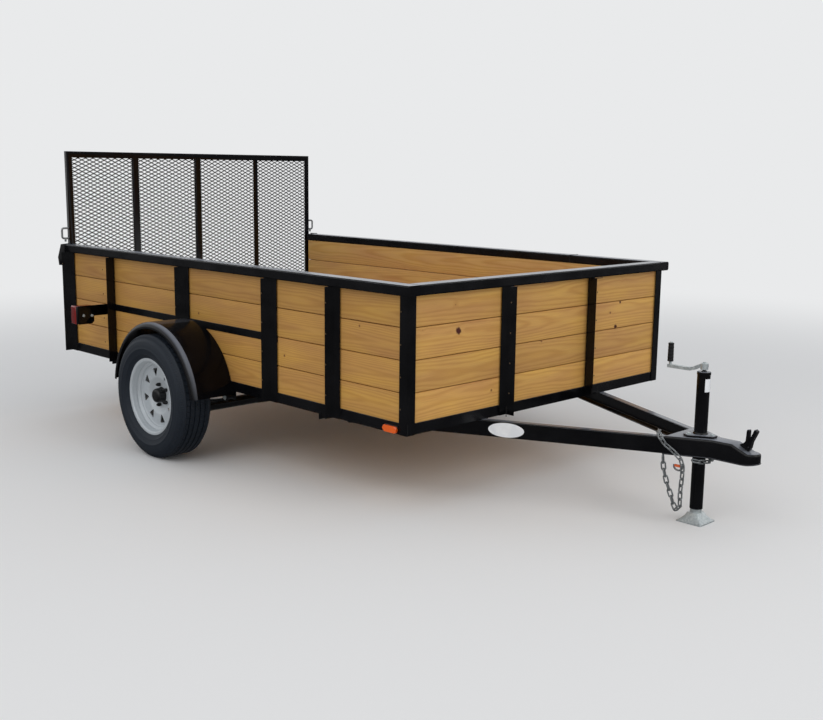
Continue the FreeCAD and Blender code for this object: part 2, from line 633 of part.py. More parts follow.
def jack():
    """Screw jack: outer tube with its plate on the coupler, crank on top, sliding leg and foot."""
    plate_base = "(frame_base + coupler_wall)"
    skin = rod("jack_skin", "jack_tube_radius", "jack_tube_top - jack_tube_base",
               (JACK_X, "0", "jack_tube_base"))
    reach = "jack_plate_reach"
    cut_corner = value("jack_plate_corner")
    turns = [math.radians(arm + way * cut_corner) for arm in (0, 120, 240) for way in (-1, 1)]
    corners = tuple((f"{reach} * {round(math.cos(turn), 4)}", f"{reach} * {round(math.sin(turn), 4)}")
                    for turn in turns)
    plate = padded("jack_plate", "XY", [corners], "jack_plate_thick", (JACK_X, "0", plate_base))
    cap = rod("jack_cap", "jack_tube_radius + jack_cap_wall", "jack_cap_height",
              (JACK_X, "0", "jack_tube_top - jack_cap_height"))
    screw_head = prism("jack_screw_head", 8, "crank_hub_radius - crank_pin_radius", "crank_rise",
                       (JACK_X, "0", "jack_tube_top"))
    bore = rod("jack_bore", "jack_tube_radius - jack_tube_wall",
               "jack_tube_top - jack_end_wall - jack_tube_base", (JACK_X, "0", "jack_tube_base"))
    node(cut("jack_outer", fused("jack_outer_solid", [skin, plate, cap, screw_head]), bore), "jack_housing")
    crank_jack()
    leg_radius = "(jack_tube_radius - jack_tube_wall - jack_slip)"
    leg = rod("jack_leg_skin", leg_radius, "jack_leg_top - foot_thick - foot_socket_height",
              (JACK_X, "0", "foot_thick + foot_socket_height"))
    leg_bore = rod("jack_leg_bore", f"{leg_radius} - jack_tube_wall", "jack_leg_top",
                   (JACK_X, "0", "foot_thick + foot_socket_height + leg_end_wall"))
    node(cut("jack_leg_tube", leg, leg_bore), "jack_inner_tube")
    foot = box("foot_plate", ("foot_side", "foot_side", "foot_thick"),
               (f"{JACK_X} - foot_side / 2", "-foot_side / 2", "0"))
    socket = doc.addObject("Part::Wedge", "foot_socket")
    base_half = f"{leg_radius} + foot_socket_flare"
    top_half = f"{leg_radius} + foot_socket_wall"
    for side, text in (("Xmax", base_half), ("Zmax", base_half), ("X2max", top_half), ("Z2max", top_half)):
        socket.setExpression(side, bound(text))
        socket.setExpression(side.replace("max", "min"), bound(f"-({text})"))
    socket.setExpression("Ymin", "0")
    socket.setExpression("Ymax", bound("foot_socket_height"))
    place(socket, JACK_X, "0", "foot_thick", turn=FreeCAD.Rotation(Y_AXIS, Z_AXIS))
    node(fused("foot_solid", [foot, socket]), "jack_foot")


def crank_jack():
    """Bent crank arm from the jack's top to an upright grip."""
    hub_base = "(jack_tube_top + crank_rise)"
    arm_middle = f"({hub_base} + crank_hub_height / 2)"
    grip_x = f"{JACK_X} - crank_reach"
    grip_base = f"({arm_middle} - crank_drop + grip_lift)"
    hub = rod("crank_hub", "crank_hub_radius", "crank_hub_height", (JACK_X, "0", hub_base))
    upper = (("0", "crank_thick / 2"), ("-crank_bend", "crank_thick / 2 - crank_drop"),
             ("-crank_reach - crank_width / 2", "crank_thick / 2 - crank_drop"))
    lower = tuple((x, f"{z} - crank_thick") for x, z in reversed(upper))
    arm = padded("crank_arm", "XZ", [upper + lower], "crank_width", (JACK_X, "crank_width / 2", arm_middle))
    pin = rod("crank_pin", "crank_pin_radius", "grip_lift + grip_length + crank_pin_proud",
              (grip_x, "0", f"{arm_middle} - crank_drop"))
    node(fused("crank_solid", [hub, arm, pin]), "jack_crank")
    grip = rod("grip_skin", "grip_radius", "grip_length", (grip_x, "0", grip_base))
    grip_bore = rod("grip_bore", "crank_pin_radius + pin_slip", "grip_length", (grip_x, "0", grip_base))
    node(cut("grip_solid", grip, grip_bore), "jack_grip")


def axle():
    """Drop axle: a tube under the springs, an arm up to each spindle, and the springs' seats."""
    height = "(tyre_radius - axle_drop)"
    arm_y = "(spring_centre + axle_arm_inset)"
    tube = rod("axle_tube", "axle_tube_radius", f"2 * {arm_y}", (AXLE_X, f"-{arm_y}", height), Y_AXIS)
    pieces = [tube]
    for side, sign in (("right", "-"), ("left", "")):
        start = f"-({arm_y} + axle_arm_thick)" if sign else arm_y
        pieces.append(box(f"axle_arm_{side}",
                          ("axle_arm_width", "axle_arm_thick", "axle_drop + axle_arm_width"),
                          (f"{AXLE_X} - axle_arm_width / 2", start, f"{height} - axle_arm_width / 2")))
        inner = f"({arm_y} + axle_arm_thick / 2)"
        length = f"{HUB_FACE} + hub_cap_reach - hub_end_wall - spindle_end_gap - {inner}"
        begin = f"-({inner} + {length})" if sign else inner
        pieces.append(rod(f"spindle_{side}", "spindle_radius", length,
                          (AXLE_X, begin, "tyre_radius"), Y_AXIS))
        seat_y = f"{sign}spring_centre - spring_width / 2"
        pieces.append(box(f"spring_seat_{side}",
                          ("spring_seat_length", "spring_width", "axle_tube_radius + spring_seat_rise"),
                          (f"{AXLE_X} - spring_seat_length / 2", seat_y, height)))
    node(fused("axle_solid", pieces), "axle")


SPRING_MIDDLE = "(tyre_radius - axle_drop + axle_tube_radius + spring_seat_rise)"
EYE_HEIGHT = f"({SPRING_MIDDLE} + leaf_count * leaf_thick + spring_rise)"


def springs():
    """Leaf springs on the axle's seats, the longest leaf on top with an eye at each end."""
    sets = []
    middle = value(SPRING_MIDDLE)
    thick = value("leaf_thick")
    count = int(value("leaf_count"))
    reach = value("spring_reach")
    rise = value("spring_rise")
    radius = (reach ** 2 + rise ** 2) / (2 * rise)
    centre_z = middle + count * thick + radius
    width = value("spring_width")
    for side in (-1, 1):
        leaves = []
        for i in range(count):
            half = reach * (i + 1.6) / (count + 0.6)
            leaves.append(leaf(radius + (count - 1 - i) * thick, thick, half, centre_z, side, width))
        for end in (-1, 1):
            eye_at = FreeCAD.Vector(value(AXLE_X) + end * reach, side * value("spring_centre") - width / 2,
                                    value(EYE_HEIGHT))
            eye = Part.makeCylinder(value("eye_radius"), width, eye_at, Y_AXIS)
            leaves.append(eye)
            hole = Part.makeCylinder(value("eye_pin_radius") + value("spindle_slip"), width + 2,
                                     eye_at - Y_AXIS, Y_AXIS)
            leaves = [piece.cut(hole) for piece in leaves]
        sets.append(leaves[0].fuse(leaves[1:]).removeSplitter())
    springs_object = doc.addObject("Part::Feature", "spring_set")
    springs_object.Shape = Part.makeCompound(sets)
    node(springs_object, "leaf_springs")


def leaf(radius, thick, half, centre_z, side, width):
    """One curved leaf: a strip between two arcs about a centre above the axle."""
    reach = math.asin(half / radius)

    def point(r, angle):
        return FreeCAD.Vector(value(AXLE_X) + r * math.sin(angle), side * value("spring_centre") - width / 2,
                              centre_z - r * math.cos(angle))

    outer = radius + thick
    edges = [Part.Arc(point(radius, -reach), point(radius, 0), point(radius, reach)).toShape(),
             Part.makeLine(point(radius, reach), point(outer, reach)),
             Part.Arc(point(outer, reach), point(outer, 0), point(outer, -reach)).toShape(),
             Part.makeLine(point(outer, -reach), point(radius, -reach))]
    return Part.Face(Part.Wire(edges)).extrude(FreeCAD.Vector(0, width, 0))


def hangers():
    """Hangers under the rails, each two cheeks, a top plate and the pin through a spring eye."""
    brackets = []
    half_gap = "(spring_width / 2 + hanger_gap)"
    half = f"({half_gap} + hanger_wall)"
    drop = f"(frame_base - {EYE_HEIGHT} + hanger_foot)"
    for side, sign in (("right", "-"), ("left", "")):
        middle_y = f"({sign}spring_centre)"
        for end, way in (("front", "+"), ("rear", "-")):
            name = f"hanger_{side}_{end}"
            eye_x = f"({AXLE_X} {way} spring_reach)"
            pieces = [box(f"{name}_top", ("hanger_top_width", f"2 * {half}", "hanger_wall"),
                          (f"{eye_x} - hanger_top_width / 2", f"{middle_y} - {half}",
                           "frame_base - hanger_wall"))]
            for cheek, start in (("inner", f"{middle_y} + {half_gap}"), ("outer", f"{middle_y} - {half}")):
                pieces.append(box(f"{name}_{cheek}", ("hanger_width", "hanger_wall", drop),
                                  (f"{eye_x} - hanger_width / 2", start, f"frame_base - {drop}")))
            pieces.append(prism(f"{name}_pin", 8, "eye_pin_radius", f"2 * ({half} + hanger_pin_proud)",
                                (eye_x, f"{middle_y} - {half} - hanger_pin_proud", EYE_HEIGHT), Y_AXIS))
            brackets.append(fused(name, pieces))
    node(group("hanger_set", brackets), "spring_hangers")


def fenders():
    """Half-round fender sheet that rolls over into its outer lip, its ends cut level."""

    def roll(radius, turns):
        corners = []
        for turn in turns:
            across = round(math.cos(math.radians(turn)), 4)
            along = round(math.sin(math.radians(turn)), 4)
            corners.append((f"fender_radius - fender_roll + {across} * {radius}",
                            f"{FENDER_FACE} - fender_roll + {along} * {radius}"))
        return tuple(corners)

    lip = "fender_radius - fender_lip"
    section = (("fender_radius", RAIL_FACE),) + roll("fender_roll", (0, 30, 60, 90)) + (
        (lip, FENDER_FACE), (lip, f"{FENDER_FACE} - fender_wall")) + roll(
        "(fender_roll - fender_wall)", (90, 60, 30, 0)) + (("fender_radius - fender_wall", RAIL_FACE),)
    hoop = faceted("fender_hoop", section, "fender_sides")
    place(hoop, AXLE_X, "0", "fender_axis_height")
    below = box("fender_below", ("3 * fender_radius", "2 * fender_width", "2 * fender_radius"),
                (f"{AXLE_X} - 1.5 * fender_radius", f"{RAIL_FACE} - fender_width / 2",
                 "fender_base - 2 * fender_radius"))
    sheet_metal = cut("fender_sheet", hoop, below)
    node(sheet_metal, "fender_left")
    node(mirrored("fender_mirror", sheet_metal), "fender_right")


def wheels():
    """Tyre, rim and hub of the left wheel, mirrored for the right."""
    half = "(tyre_width / 2)"
    bead = "(rim_width / 2 - flange_gap)"
    tread = "(tread_width / 2)"
    seat = "bead_radius + bead_gap"
    outside = ((seat, f"{bead} - tyre_wall"), (seat, bead), ("rim_flange_radius + 2", bead),
               ("rim_flange_radius + 46", half), ("tyre_radius - 20", f"{tread} + 16"),
               ("tyre_radius - 5", tread), ("tyre_radius", f"{tread} - 30"))
    inside = (("tyre_radius - tyre_wall", f"{tread} - 16"), ("rim_flange_radius + 46", f"{half} - tyre_wall"))
    right_outside = tuple((radius, f"-({along})") for radius, along in reversed(outside))
    right_inside = tuple((radius, f"-({along})") for radius, along in reversed(inside))
    tyre = faceted("tyre_carcass", outside + right_outside + right_inside + inside, "wheel_sides")
    place(tyre, AXLE_X, HUB_FACE, "tyre_radius")
    node(tyre, "tyre_left")
    node(mirrored("tyre_mirror", tyre), "tyre_right")
    rim()
    hub()


def stud_places():
    """Middles of the wheel studs about the axle, as expressions for x and z."""
    count = int(value("nut_count"))
    turns = [math.radians(360 / count * i + 180) for i in range(count)]
    return [tuple(f"nut_circle_radius * {round(way(turn), 5)}" for way in (math.cos, math.sin))
            for turn in turns]


def rim():
    """Pressed wheel: a drop-centre barrel and a dished disc with windows."""
    width = "(rim_width / 2)"
    wall = "rim_wall"
    inner_bead = f"bead_radius - {wall}"
    inner_well = f"rim_well_radius - {wall}"
    outer_half = (("rim_well_radius", "rim_width / 6"), ("bead_radius", "rim_width / 4"),
                  ("bead_radius", width), ("rim_flange_radius", width),
                  ("rim_flange_radius", f"({width} + {wall})"))
    inner_half = ((inner_bead, f"({width} + {wall})"), (inner_bead, f"(rim_width / 4 + {wall} / 2)"),
                  (inner_well, f"(rim_width / 6 + {wall} / 2)"))
    half = outer_half + inner_half
    other_half = tuple((radius, f"-({along})") for radius, along in reversed(half))
    ring = faceted("rim_barrel", half + other_half, "wheel_sides")
    disc_face = (("disc_bore_radius", "0"), ("disc_land_radius", "0"),
                 ("disc_crown_radius - disc_crown_half", "disc_dish"),
                 ("disc_crown_radius + disc_crown_half", "disc_dish - 2"), (inner_well, "disc_edge_reach"))
    disc_front = tuple((radius, f"{along} + {wall}") for radius, along in reversed(disc_face))
    plate = faceted("rim_disc", disc_face + disc_front, "wheel_sides")
    windows = []
    count = int(value("window_count"))
    for i in range(count):
        turn = math.radians(value("window_turn") + 360 / count * i)
        across = round(math.cos(turn), 5)
        up = round(math.sin(turn), 5)
        corners = tuple((f"{reach} * {across} - ({off}) * {up}", f"{reach} * {up} + ({off}) * {across}")
                        for reach, off in (("window_outer", "-window_half"), ("window_outer", "window_half"),
                                           ("window_inner", "0")))
        windows.append(padded(f"window_{i}", "XZ", [corners], "2 * disc_dish", ("0", "2 * disc_dish", "0")))
    for i, (x, z) in enumerate(stud_places()):
        windows.append(prism(f"stud_hole_{i}", 8, "stud_hole_radius", "rim_wall", (x, "0", z), Y_AXIS))
    pierced = cut("wheel_disc", plate, fused("window_set", windows))
    wheel = fused("wheel_solid", [ring, pierced])
    place(wheel, AXLE_X, HUB_FACE, "tyre_radius")
    node(wheel, "rim_left")
    node(mirrored("rim_mirror", wheel), "rim_right")


def hub():
    """Hub turning on the spindle, with its grease cap, studs and nuts."""
    cap_end = "hub_cap_reach"
    section = (("0", "-hub_barrel_depth"), ("hub_barrel_radius", "-hub_barrel_depth"),
               ("hub_barrel_radius", "-hub_flange_thick"), ("hub_flange_radius", "-hub_flange_thick"),
               ("hub_flange_radius", "0"), ("hub_pilot_radius", "0"), ("hub_cap_radius", "hub_pilot_height"),
               ("hub_cap_radius", f"{cap_end} - hub_cap_bevel"), ("hub_cap_radius - hub_cap_bevel", cap_end),
               ("0", cap_end))
    outside = faceted("hub_outside", section, "hub_sides")
    bore = rod("hub_bore", "spindle_radius + spindle_slip", f"hub_barrel_depth + {cap_end} - hub_end_wall",
               ("0", "-hub_barrel_depth", "0"), Y_AXIS)
    pieces = [cut("hub_barrel", outside, bore)]
    for i, (x, z) in enumerate(stud_places()):
        pieces.append(prism(f"nut_{i}", 6, "nut_radius", "nut_height", (x, "rim_wall", z), Y_AXIS))
        pieces.append(prism(f"stud_{i}", 8, "stud_radius", "rim_wall + nut_height + stud_proud",
                            (x, "0", z), Y_AXIS))
    whole = fused("hub_solid", pieces)
    place(whole, AXLE_X, HUB_FACE, "tyre_radius")
    node(whole, "hub_left")
    node(mirrored("hub_mirror", whole), "hub_right")


# Gate uprights: name, right edge from the centreline, side that carries the leg (-1 right, 1 left)
GATE_UPRIGHTS = (
    ("right", "(-gate_half_width)", -1),
    ("inner_right", "(-gate_bay - gate_face / 2)", -1),
    ("middle", "(-gate_face / 2)", -1),
    ("inner_left", "(gate_bay - gate_face / 2)", 1),
    ("left", "(gate_half_width - gate_face)", 1),
)


def gate():
    """Ramp gate of angle iron with mesh panels, hung on two pins at its foot."""
    front = f"({HINGE_X} + gate_depth / 2)"
    half = "gate_half_width"
    bars = []
    for name, base, ledge in (("foot", "frame_base", "frame_base"),
                              ("head", "frame_base + gate_height - gate_face",
                               "frame_base + gate_height - gate_wall")):
        bars.append(box(f"gate_{name}_face", ("gate_wall", f"2 * {half}", "gate_face"),
                        (f"{front} - gate_wall", f"-{half}", base)))
        bars.append(box(f"gate_{name}_leg", ("gate_depth", f"2 * {half}", "gate_wall"),
                        (f"{front} - gate_depth", f"-{half}", ledge)))
    for name, right_edge, side in GATE_UPRIGHTS:
        bars.append(box(f"gate_{name}_face", ("gate_wall", "gate_face", "gate_height"),
                        (f"{front} - gate_wall", right_edge, "frame_base")))
        leg_y = right_edge if side < 0 else f"{right_edge} + gate_face - gate_wall"
        bars.append(box(f"gate_{name}_leg", ("gate_depth", "gate_wall", "gate_height"),
                        (f"{front} - gate_depth", leg_y, "frame_base")))
    lug_outer = f"({half} + lug_gap + lug_thick)"
    for side, sign in (("right", "-"), ("left", "")):
        start = f"-({lug_outer} + pin_proud)" if sign else f"({half} - gate_wall)"
        bars.append(rod(f"gate_pin_{side}", "pin_radius", f"{lug_outer} + pin_proud - {half} + gate_wall",
                        (HINGE_X, start, HINGE_HEIGHT), Y_AXIS))
    node(fused("gate_solid", bars), "gate_frame")
    gate_mesh()
    gate_latches()


# Gate mesh: openings across a panel, rows of openings up it, width of a strand
MESH_COLUMNS = 2
MESH_ROWS = 9
STRAND = 12


def gate_mesh():
    """Expanded mesh in four panels between the uprights' legs, on the rear of the faces."""
    wall = value("gate_wall")
    legs = []
    for _, right_edge, side in GATE_UPRIGHTS:
        start = value(right_edge) if side < 0 else value(f"{right_edge} + gate_face - gate_wall")
        legs.append((start, start + wall))
    spans = [(right[1], left[0]) for right, left in zip(legs, legs[1:])]
    front = value(HINGE_X) + value("gate_depth") / 2 - wall
    low = value("frame_base") + wall + 1
    high = value("frame_base") + value("gate_height") - wall - 1
    panels = [mesh_panel(front, right + 0.5, left - 0.5, low, high) for right, left in spans]
    mesh = doc.addObject("Part::Feature", "mesh_panels")
    mesh.Shape = Part.makeCompound(panels)
    node(mesh, "gate_mesh")


def mesh_panel(front, right, left, low, high):
    """One sheet with staggered lozenge openings inside the frame's faces."""
    margin = value("gate_face")

    def wire(points):
        return Part.makePolygon([FreeCAD.Vector(front, y, z) for y, z in points + points[:1]])

    holes = []
    inside = (right + margin, left - margin, low + margin, high - margin)
    step_y = (inside[1] - inside[0]) / MESH_COLUMNS
    step_z = (inside[3] - inside[2]) / MESH_ROWS
    for r in range(2 * MESH_ROWS - 1):
        shifted = r % 2
        for c in range(MESH_COLUMNS - shifted):
            y = inside[0] + (c + 0.5 + shifted / 2) * step_y
            z = inside[2] + (r + 1) * step_z / 2
            half_y, half_z = step_y / 2 - STRAND, step_z / 2 - STRAND / 2
            holes.append(wire([(y - half_y, z), (y, z - half_z), (y + half_y, z), (y, z + half_z)]))
    sheet_edge = wire([(right, low), (left, low), (left, high), (right, high)])
    face = Part.makeFace([sheet_edge] + holes, "Part::FaceMakerBullseye")
    return face.extrude(FreeCAD.Vector(-value("mesh_thick"), 0, 0))


def gate_latches():
    """Bent-bar latch handles on the gate's outer uprights, their pins lifted clear of the keepers."""
    bar = "latch_bar_half"
    low = f"({RAIL_TOP} + latch_lift)"
    high = f"({low} + latch_height)"
    near = "gate_half_width"
    far = "(gate_half_width + latch_reach)"
    pin = "(gate_half_width + latch_reach / 2)"
    plan = ((near, f"{high} + {bar}"), (f"{far} + {bar}", f"{high} + {bar}"),
            (f"{far} + {bar}", f"{low} - {bar}"),
            (f"{pin} + {bar}", f"{low} - {bar}"), (f"{pin} + {bar}", f"{low} - latch_pin_drop"),
            (f"{pin} - {bar}", f"{low} - latch_pin_drop"), (f"{pin} - {bar}", f"{low} - {bar}"),
            (near, f"{low} - {bar}"), (near, f"{low} + {bar}"), (f"{far} - {bar}", f"{low} + {bar}"),
            (f"{far} - {bar}", f"{high} - {bar}"), (near, f"{high} - {bar}"))
    loop = padded("latch_loop", "YZ", [plan], f"2 * {bar}", (f"{HINGE_X} - {bar}",))
    node(group("latch_loops", [loop, mirrored("latch_loop_mirror", loop)]), "gate_latches")


def gate_brackets():
    """Hinge lugs on the rear rail and latch keepers on the rear posts."""
    pieces = []
    inner = "(gate_half_width + lug_gap)"
    for side, start in (("right", f"-({inner} + lug_thick)"), ("left", inner)):
        arm = box(f"lug_arm_{side}", (f"{HINGE_BEHIND} - bed_length", "lug_thick", "2 * lug_radius"),
                  (HINGE_X, start, f"{HINGE_HEIGHT} - lug_radius"))
        end = rod(f"lug_end_{side}", "lug_radius", "lug_thick", (HINGE_X, start, HINGE_HEIGHT), Y_AXIS)
        hole = rod(f"lug_hole_{side}", "pin_radius + pin_slip", "lug_thick", (HINGE_X, start, HINGE_HEIGHT),
                   Y_AXIS)
        pieces.append(cut(f"lug_{side}", fused(f"lug_solid_{side}", [arm, end]), hole))
    outer = f"({POST_FACE} + top_rail_proud)"
    keeper_base = f"({WALL_TOP} - keeper_drop)"
    keeper_top = f"({RAIL_TOP} + keeper_rise)"
    for side, sign in (("right", "-"), ("left", "")):
        plan = ((f"{sign}{inner}", keeper_base),
                (f"{sign}({outer} + keeper_reach - 5)", f"{keeper_base} + 7"),
                (f"{sign}({outer} + keeper_reach)", f"{keeper_base} + 56"),
                (f"{sign}({outer} + keeper_reach / 2)", f"{keeper_top} - 4"), (f"{sign}{inner}", keeper_top))
        pieces.append(padded(f"keeper_{side}", "YZ", [plan], "angle_wall",
                             (f"{FRONT_X} - bed_length - angle_wall",)))
    node(group("gate_bracket_set", pieces), "gate_brackets")


def lamps():
    """Tail lamps on arms behind the lamp posts, and amber markers on the rails."""
    arm_x = f"({FRONT_X} - {LAMP_POST} - angle_leg)"
    base = "(lamp_arm_top - lamp_arm_height)"
    plate_base = f"({base} - lamp_plate_drop)"
    end = f"({RAIL_FACE} + lamp_arm_length)"
    inner = f"({end} - lamp_plate_width)"
    plan = ((f"-{RAIL_FACE}", base), (f"-{RAIL_FACE}", "lamp_arm_top"), (f"-{end}", "lamp_arm_top"),
            (f"-{end}", plate_base), (f"-{inner} - lamp_plate_bevel", plate_base),
            (f"-{inner}", f"{plate_base} + lamp_plate_bevel"), (f"-{inner}", base))
    arm = padded("lamp_arm", "YZ", [plan], "angle_wall", (f"{arm_x} - angle_wall",))
    pair("lamp_bracket", arm)
    middle = f"({plate_base} + lamp_arm_top) / 2"
    lamp = box("lamp_case", ("lamp_depth", "lamp_width", "lamp_height"),
               (f"{arm_x} - angle_wall - lamp_depth", f"-{end} - lamp_proud", f"{middle} - lamp_height / 2"))
    pair("tail_lamp", lamp)
    markers = []
    for side, start in (("right", f"-{RAIL_FACE} - marker_depth"), ("left", RAIL_FACE)):
        markers.append(box(f"marker_{side}", ("marker_length", "marker_depth", "marker_height"),
                           (f"{FRONT_X} + marker_ahead - marker_length / 2", start,
                            "marker_middle - marker_height / 2")))
    node(group("marker_set", markers), "side_markers")


# Safety chains, one run a tuple, link middles along it: ahead, left of the centreline, height.
# The first hangs from the right channel's top, down over the coupler's side and in a loop to the
# channel's underside; the second passes under the coupler, round the jack, to the left channel.
CHAIN_RUNS = (
    ((700, -96, 400), (726, -134, 409), (744, -158, 396), (762, -146, 362), (792, -126, 335),
     (836, -112, 292), (838, -108, 240), (830, -105, 150), (832, -105, 85), (815, -106, 64),
     (800, -108, 90), (787, -112, 133), (767, -115, 180), (749, -120, 246), (746, -124, 301.2)),
    ((872, -88, 297), (900, -56, 289), (906, 0, 284), (880, 62, 284), (826, 100, 287), (786, 106, 296.2)),
)
LINK_PITCH = 31.6
LINK_WIDTH = 25
LINK_WIRE = 7
LINK_SLACK = 0.4
LINK_ROLL = 20


def safety_chains():
    """Welded-link safety chains on the tongue and coupler."""
    chains = []
    for run in CHAIN_RUNS:
        points = [FreeCAD.Vector(value(FRONT_X) + ahead, y, z) for ahead, y, z in run]
        chains += chain_links(points)
    chain = doc.addObject("Part::Feature", "chain_set")
    chain.Shape = Part.makeCompound(chains)
    node(chain, "safety_chains")


def chain_links(points):
    """Links set along a polyline, each turned a quarter from the last, as many as fill it."""
    lengths = [(b - a).Length for a, b in zip(points, points[1:])]
    count = math.ceil(sum(lengths) / LINK_PITCH)
    pitch = sum(lengths) / count
    stations = [route_point(points, lengths, i * pitch) for i in range(count + 1)]
    return [link((a + b) * 0.5, b - a, i % 2) for i, (a, b) in enumerate(zip(stations, stations[1:]))]


def route_point(points, lengths, along):
    for start, end, length in zip(points, points[1:], lengths):
        if along <= length:
            return start + (end - start) * (along / length)
        along -= length
    return points[-1]


def link(middle, way, quarter):
    """An eight-sided flat ring, long way along the chain, hooked through the next by one wire."""
    rings = []
    for inset in (0, LINK_WIRE):
        long_half = way.Length / 2 + LINK_WIRE + LINK_SLACK / 2 - inset
        wide_half = LINK_WIDTH / 2 - inset
        side_half = LINK_WIDTH / 4 - inset / 3
        bend = long_half - wide_half + side_half
        quarter_turn = [(long_half, side_half), (bend, wide_half)]
        upper = quarter_turn + [(-u, v) for u, v in reversed(quarter_turn)]
        corners = upper + [(u, -v) for u, v in reversed(upper)]
        rings.append(Part.makePolygon([FreeCAD.Vector(u, v, 0) for u, v in corners + corners[:1]]))
    ring = Part.makeFace(rings, "Part::FaceMakerBullseye").extrude(FreeCAD.Vector(0, 0, LINK_WIRE))
    ring.translate(FreeCAD.Vector(0, 0, -LINK_WIRE / 2))
    rolled = FreeCAD.Rotation(X_AXIS, 90 * quarter + LINK_ROLL)
    ring.Placement = FreeCAD.Placement(middle, FreeCAD.Rotation(X_AXIS, way) * rolled) * ring.Placement
    return ring


def build():
    main_frame()
    crossmembers()
    deck()
    walls()
    posts()
    top_rails()
    mid_rails()
    tongue()
    coupler()
    coupler_latch()
    jack()
    axle()
    springs()
    hangers()
    fenders()
    wheels()
    gate()
    gate_brackets()
    lamps()
    safety_chains()
    doc.recompute()


def check_document():
    """Stops if an object failed or a sub-part has no sound shape."""
    for thing in doc.Objects:
        if "Invalid" in thing.State or "Error" in thing.State:
            raise RuntimeError(f"{thing.Name} ({thing.Label}) failed: {thing.State}")
    for thing in nodes:
        if thing.Shape.isNull() or not thing.Shape.isValid() or not thing.Shape.Solids:
            raise RuntimeError(f"{thing.Label} has no sound shape")


def write_parts():
    os.makedirs("parts", exist_ok=True)
    for thing in nodes:
        thing.Shape.exportStep(f"parts/{thing.Label}.step")
        print(f"{thing.Label}: {len(thing.Shape.Solids)} solids, {thing.Shape.Volume / 1e6:.3f} litres")


build()
check_document()
write_parts()
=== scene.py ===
"""Single-axle utility trailer, dressed on its construction frame.

Metres, in the frame's own axes: +X forward to the coupler, +Y to the trailer's left, +Z up.
"""
import math
import random

import bmesh
import bpy
import numpy
from mathutils import Matrix, Vector


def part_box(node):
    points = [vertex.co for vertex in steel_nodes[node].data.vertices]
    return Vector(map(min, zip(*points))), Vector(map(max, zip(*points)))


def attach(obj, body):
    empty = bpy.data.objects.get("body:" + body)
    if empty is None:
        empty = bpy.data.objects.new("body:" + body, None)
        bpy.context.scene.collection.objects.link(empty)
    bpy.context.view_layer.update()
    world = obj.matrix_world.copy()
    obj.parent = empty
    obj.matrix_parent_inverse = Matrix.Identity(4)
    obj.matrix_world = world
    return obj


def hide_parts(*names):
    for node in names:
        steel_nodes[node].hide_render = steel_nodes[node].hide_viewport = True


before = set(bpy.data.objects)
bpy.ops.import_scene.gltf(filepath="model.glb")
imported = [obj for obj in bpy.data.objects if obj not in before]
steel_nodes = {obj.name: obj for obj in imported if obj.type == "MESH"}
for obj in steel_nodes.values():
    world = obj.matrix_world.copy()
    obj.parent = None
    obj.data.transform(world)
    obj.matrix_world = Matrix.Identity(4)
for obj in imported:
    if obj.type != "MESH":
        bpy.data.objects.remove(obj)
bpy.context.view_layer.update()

MM = 0.001
UP = Vector((0, 0, 1))
WAYS = (-1, 1)
SIDES = (("right", -1), ("left", 1))

# The photograph's camera, fitted to the trailer's straight edges: its place is ahead of the front face
CAMERA_AHEAD = 3.2324
CAMERA_ACROSS = -4.1328
CAMERA_HEIGHT = 1.5298
CAMERA_AZIMUTH = 45.38
CAMERA_ELEVATION = 10.10
CAMERA_ROLL = 0.68
CAMERA_LENS = 47.2

# Lamps: name, place, side of the square, power in watts
LAMPS = (("key_softbox", (2.0, -6.5, 6.0), 5.0, 105), ("fill_softbox", (7.5, 1.0, 5.0), 4.0, 110))
LAMPS_AIM = Vector((0, 0, 0.6))


def middle_of(node, axis):
    """The middle of a node's box along an axis: 0, 1 or 2."""
    low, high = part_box(node)
    return (low[axis] + high[axis]) / 2


# Places and sizes that the pieces share, most of them read from the frame's nodes
ANGLE_WALL = 4.8 * MM
RAIL_FACE = -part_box("main_rail_right")[0].y
POST_FACE = RAIL_FACE + ANGLE_WALL
FRONT_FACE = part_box("posts_right")[1].x
AXLE_X = middle_of("tyre_right", 0)
TYRE_RADIUS = (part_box("tyre_right")[1].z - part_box("tyre_right")[0].z) / 2
WHEEL_MIDDLE = middle_of("tyre_left", 1)
TONGUE_HALF = 480 * MM
TONGUE_SLOPE = 0.476
COUPLER_LOW, COUPLER_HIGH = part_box("coupler")
NOSE_RADIUS = 42 * MM
NOSE_TOP = COUPLER_LOW.z + 52 * MM
BALL_X = COUPLER_HIGH.x - NOSE_RADIUS
JACK_X = middle_of("jack_foot", 0)
JACK_LINE = (JACK_X, 0, 0)
JACK_TUBE = 28.5 * MM
HINGE_X = middle_of("gate_latches", 0)
HINGE_HEIGHT = 405 * MM


def wheel_centre(sign):
    """The centre of a wheel, in the middle plane of its tyre."""
    return Vector((AXLE_X, sign * WHEEL_MIDDLE, TYRE_RADIUS))


def tongue_line(ahead):
    """The tongue's outer face, from the centreline, at a distance ahead of the front face."""
    return TONGUE_HALF - TONGUE_SLOPE * ahead


def linear(colour):
    """An sRGB hex colour as the linear values that a shader takes."""
    parts = [int(colour[i:i + 2], 16) / 255 for i in (1, 3, 5)]
    return tuple(c / 12.92 if c <= 0.04045 else ((c + 0.055) / 1.055) ** 2.4 for c in parts) + (1.0,)


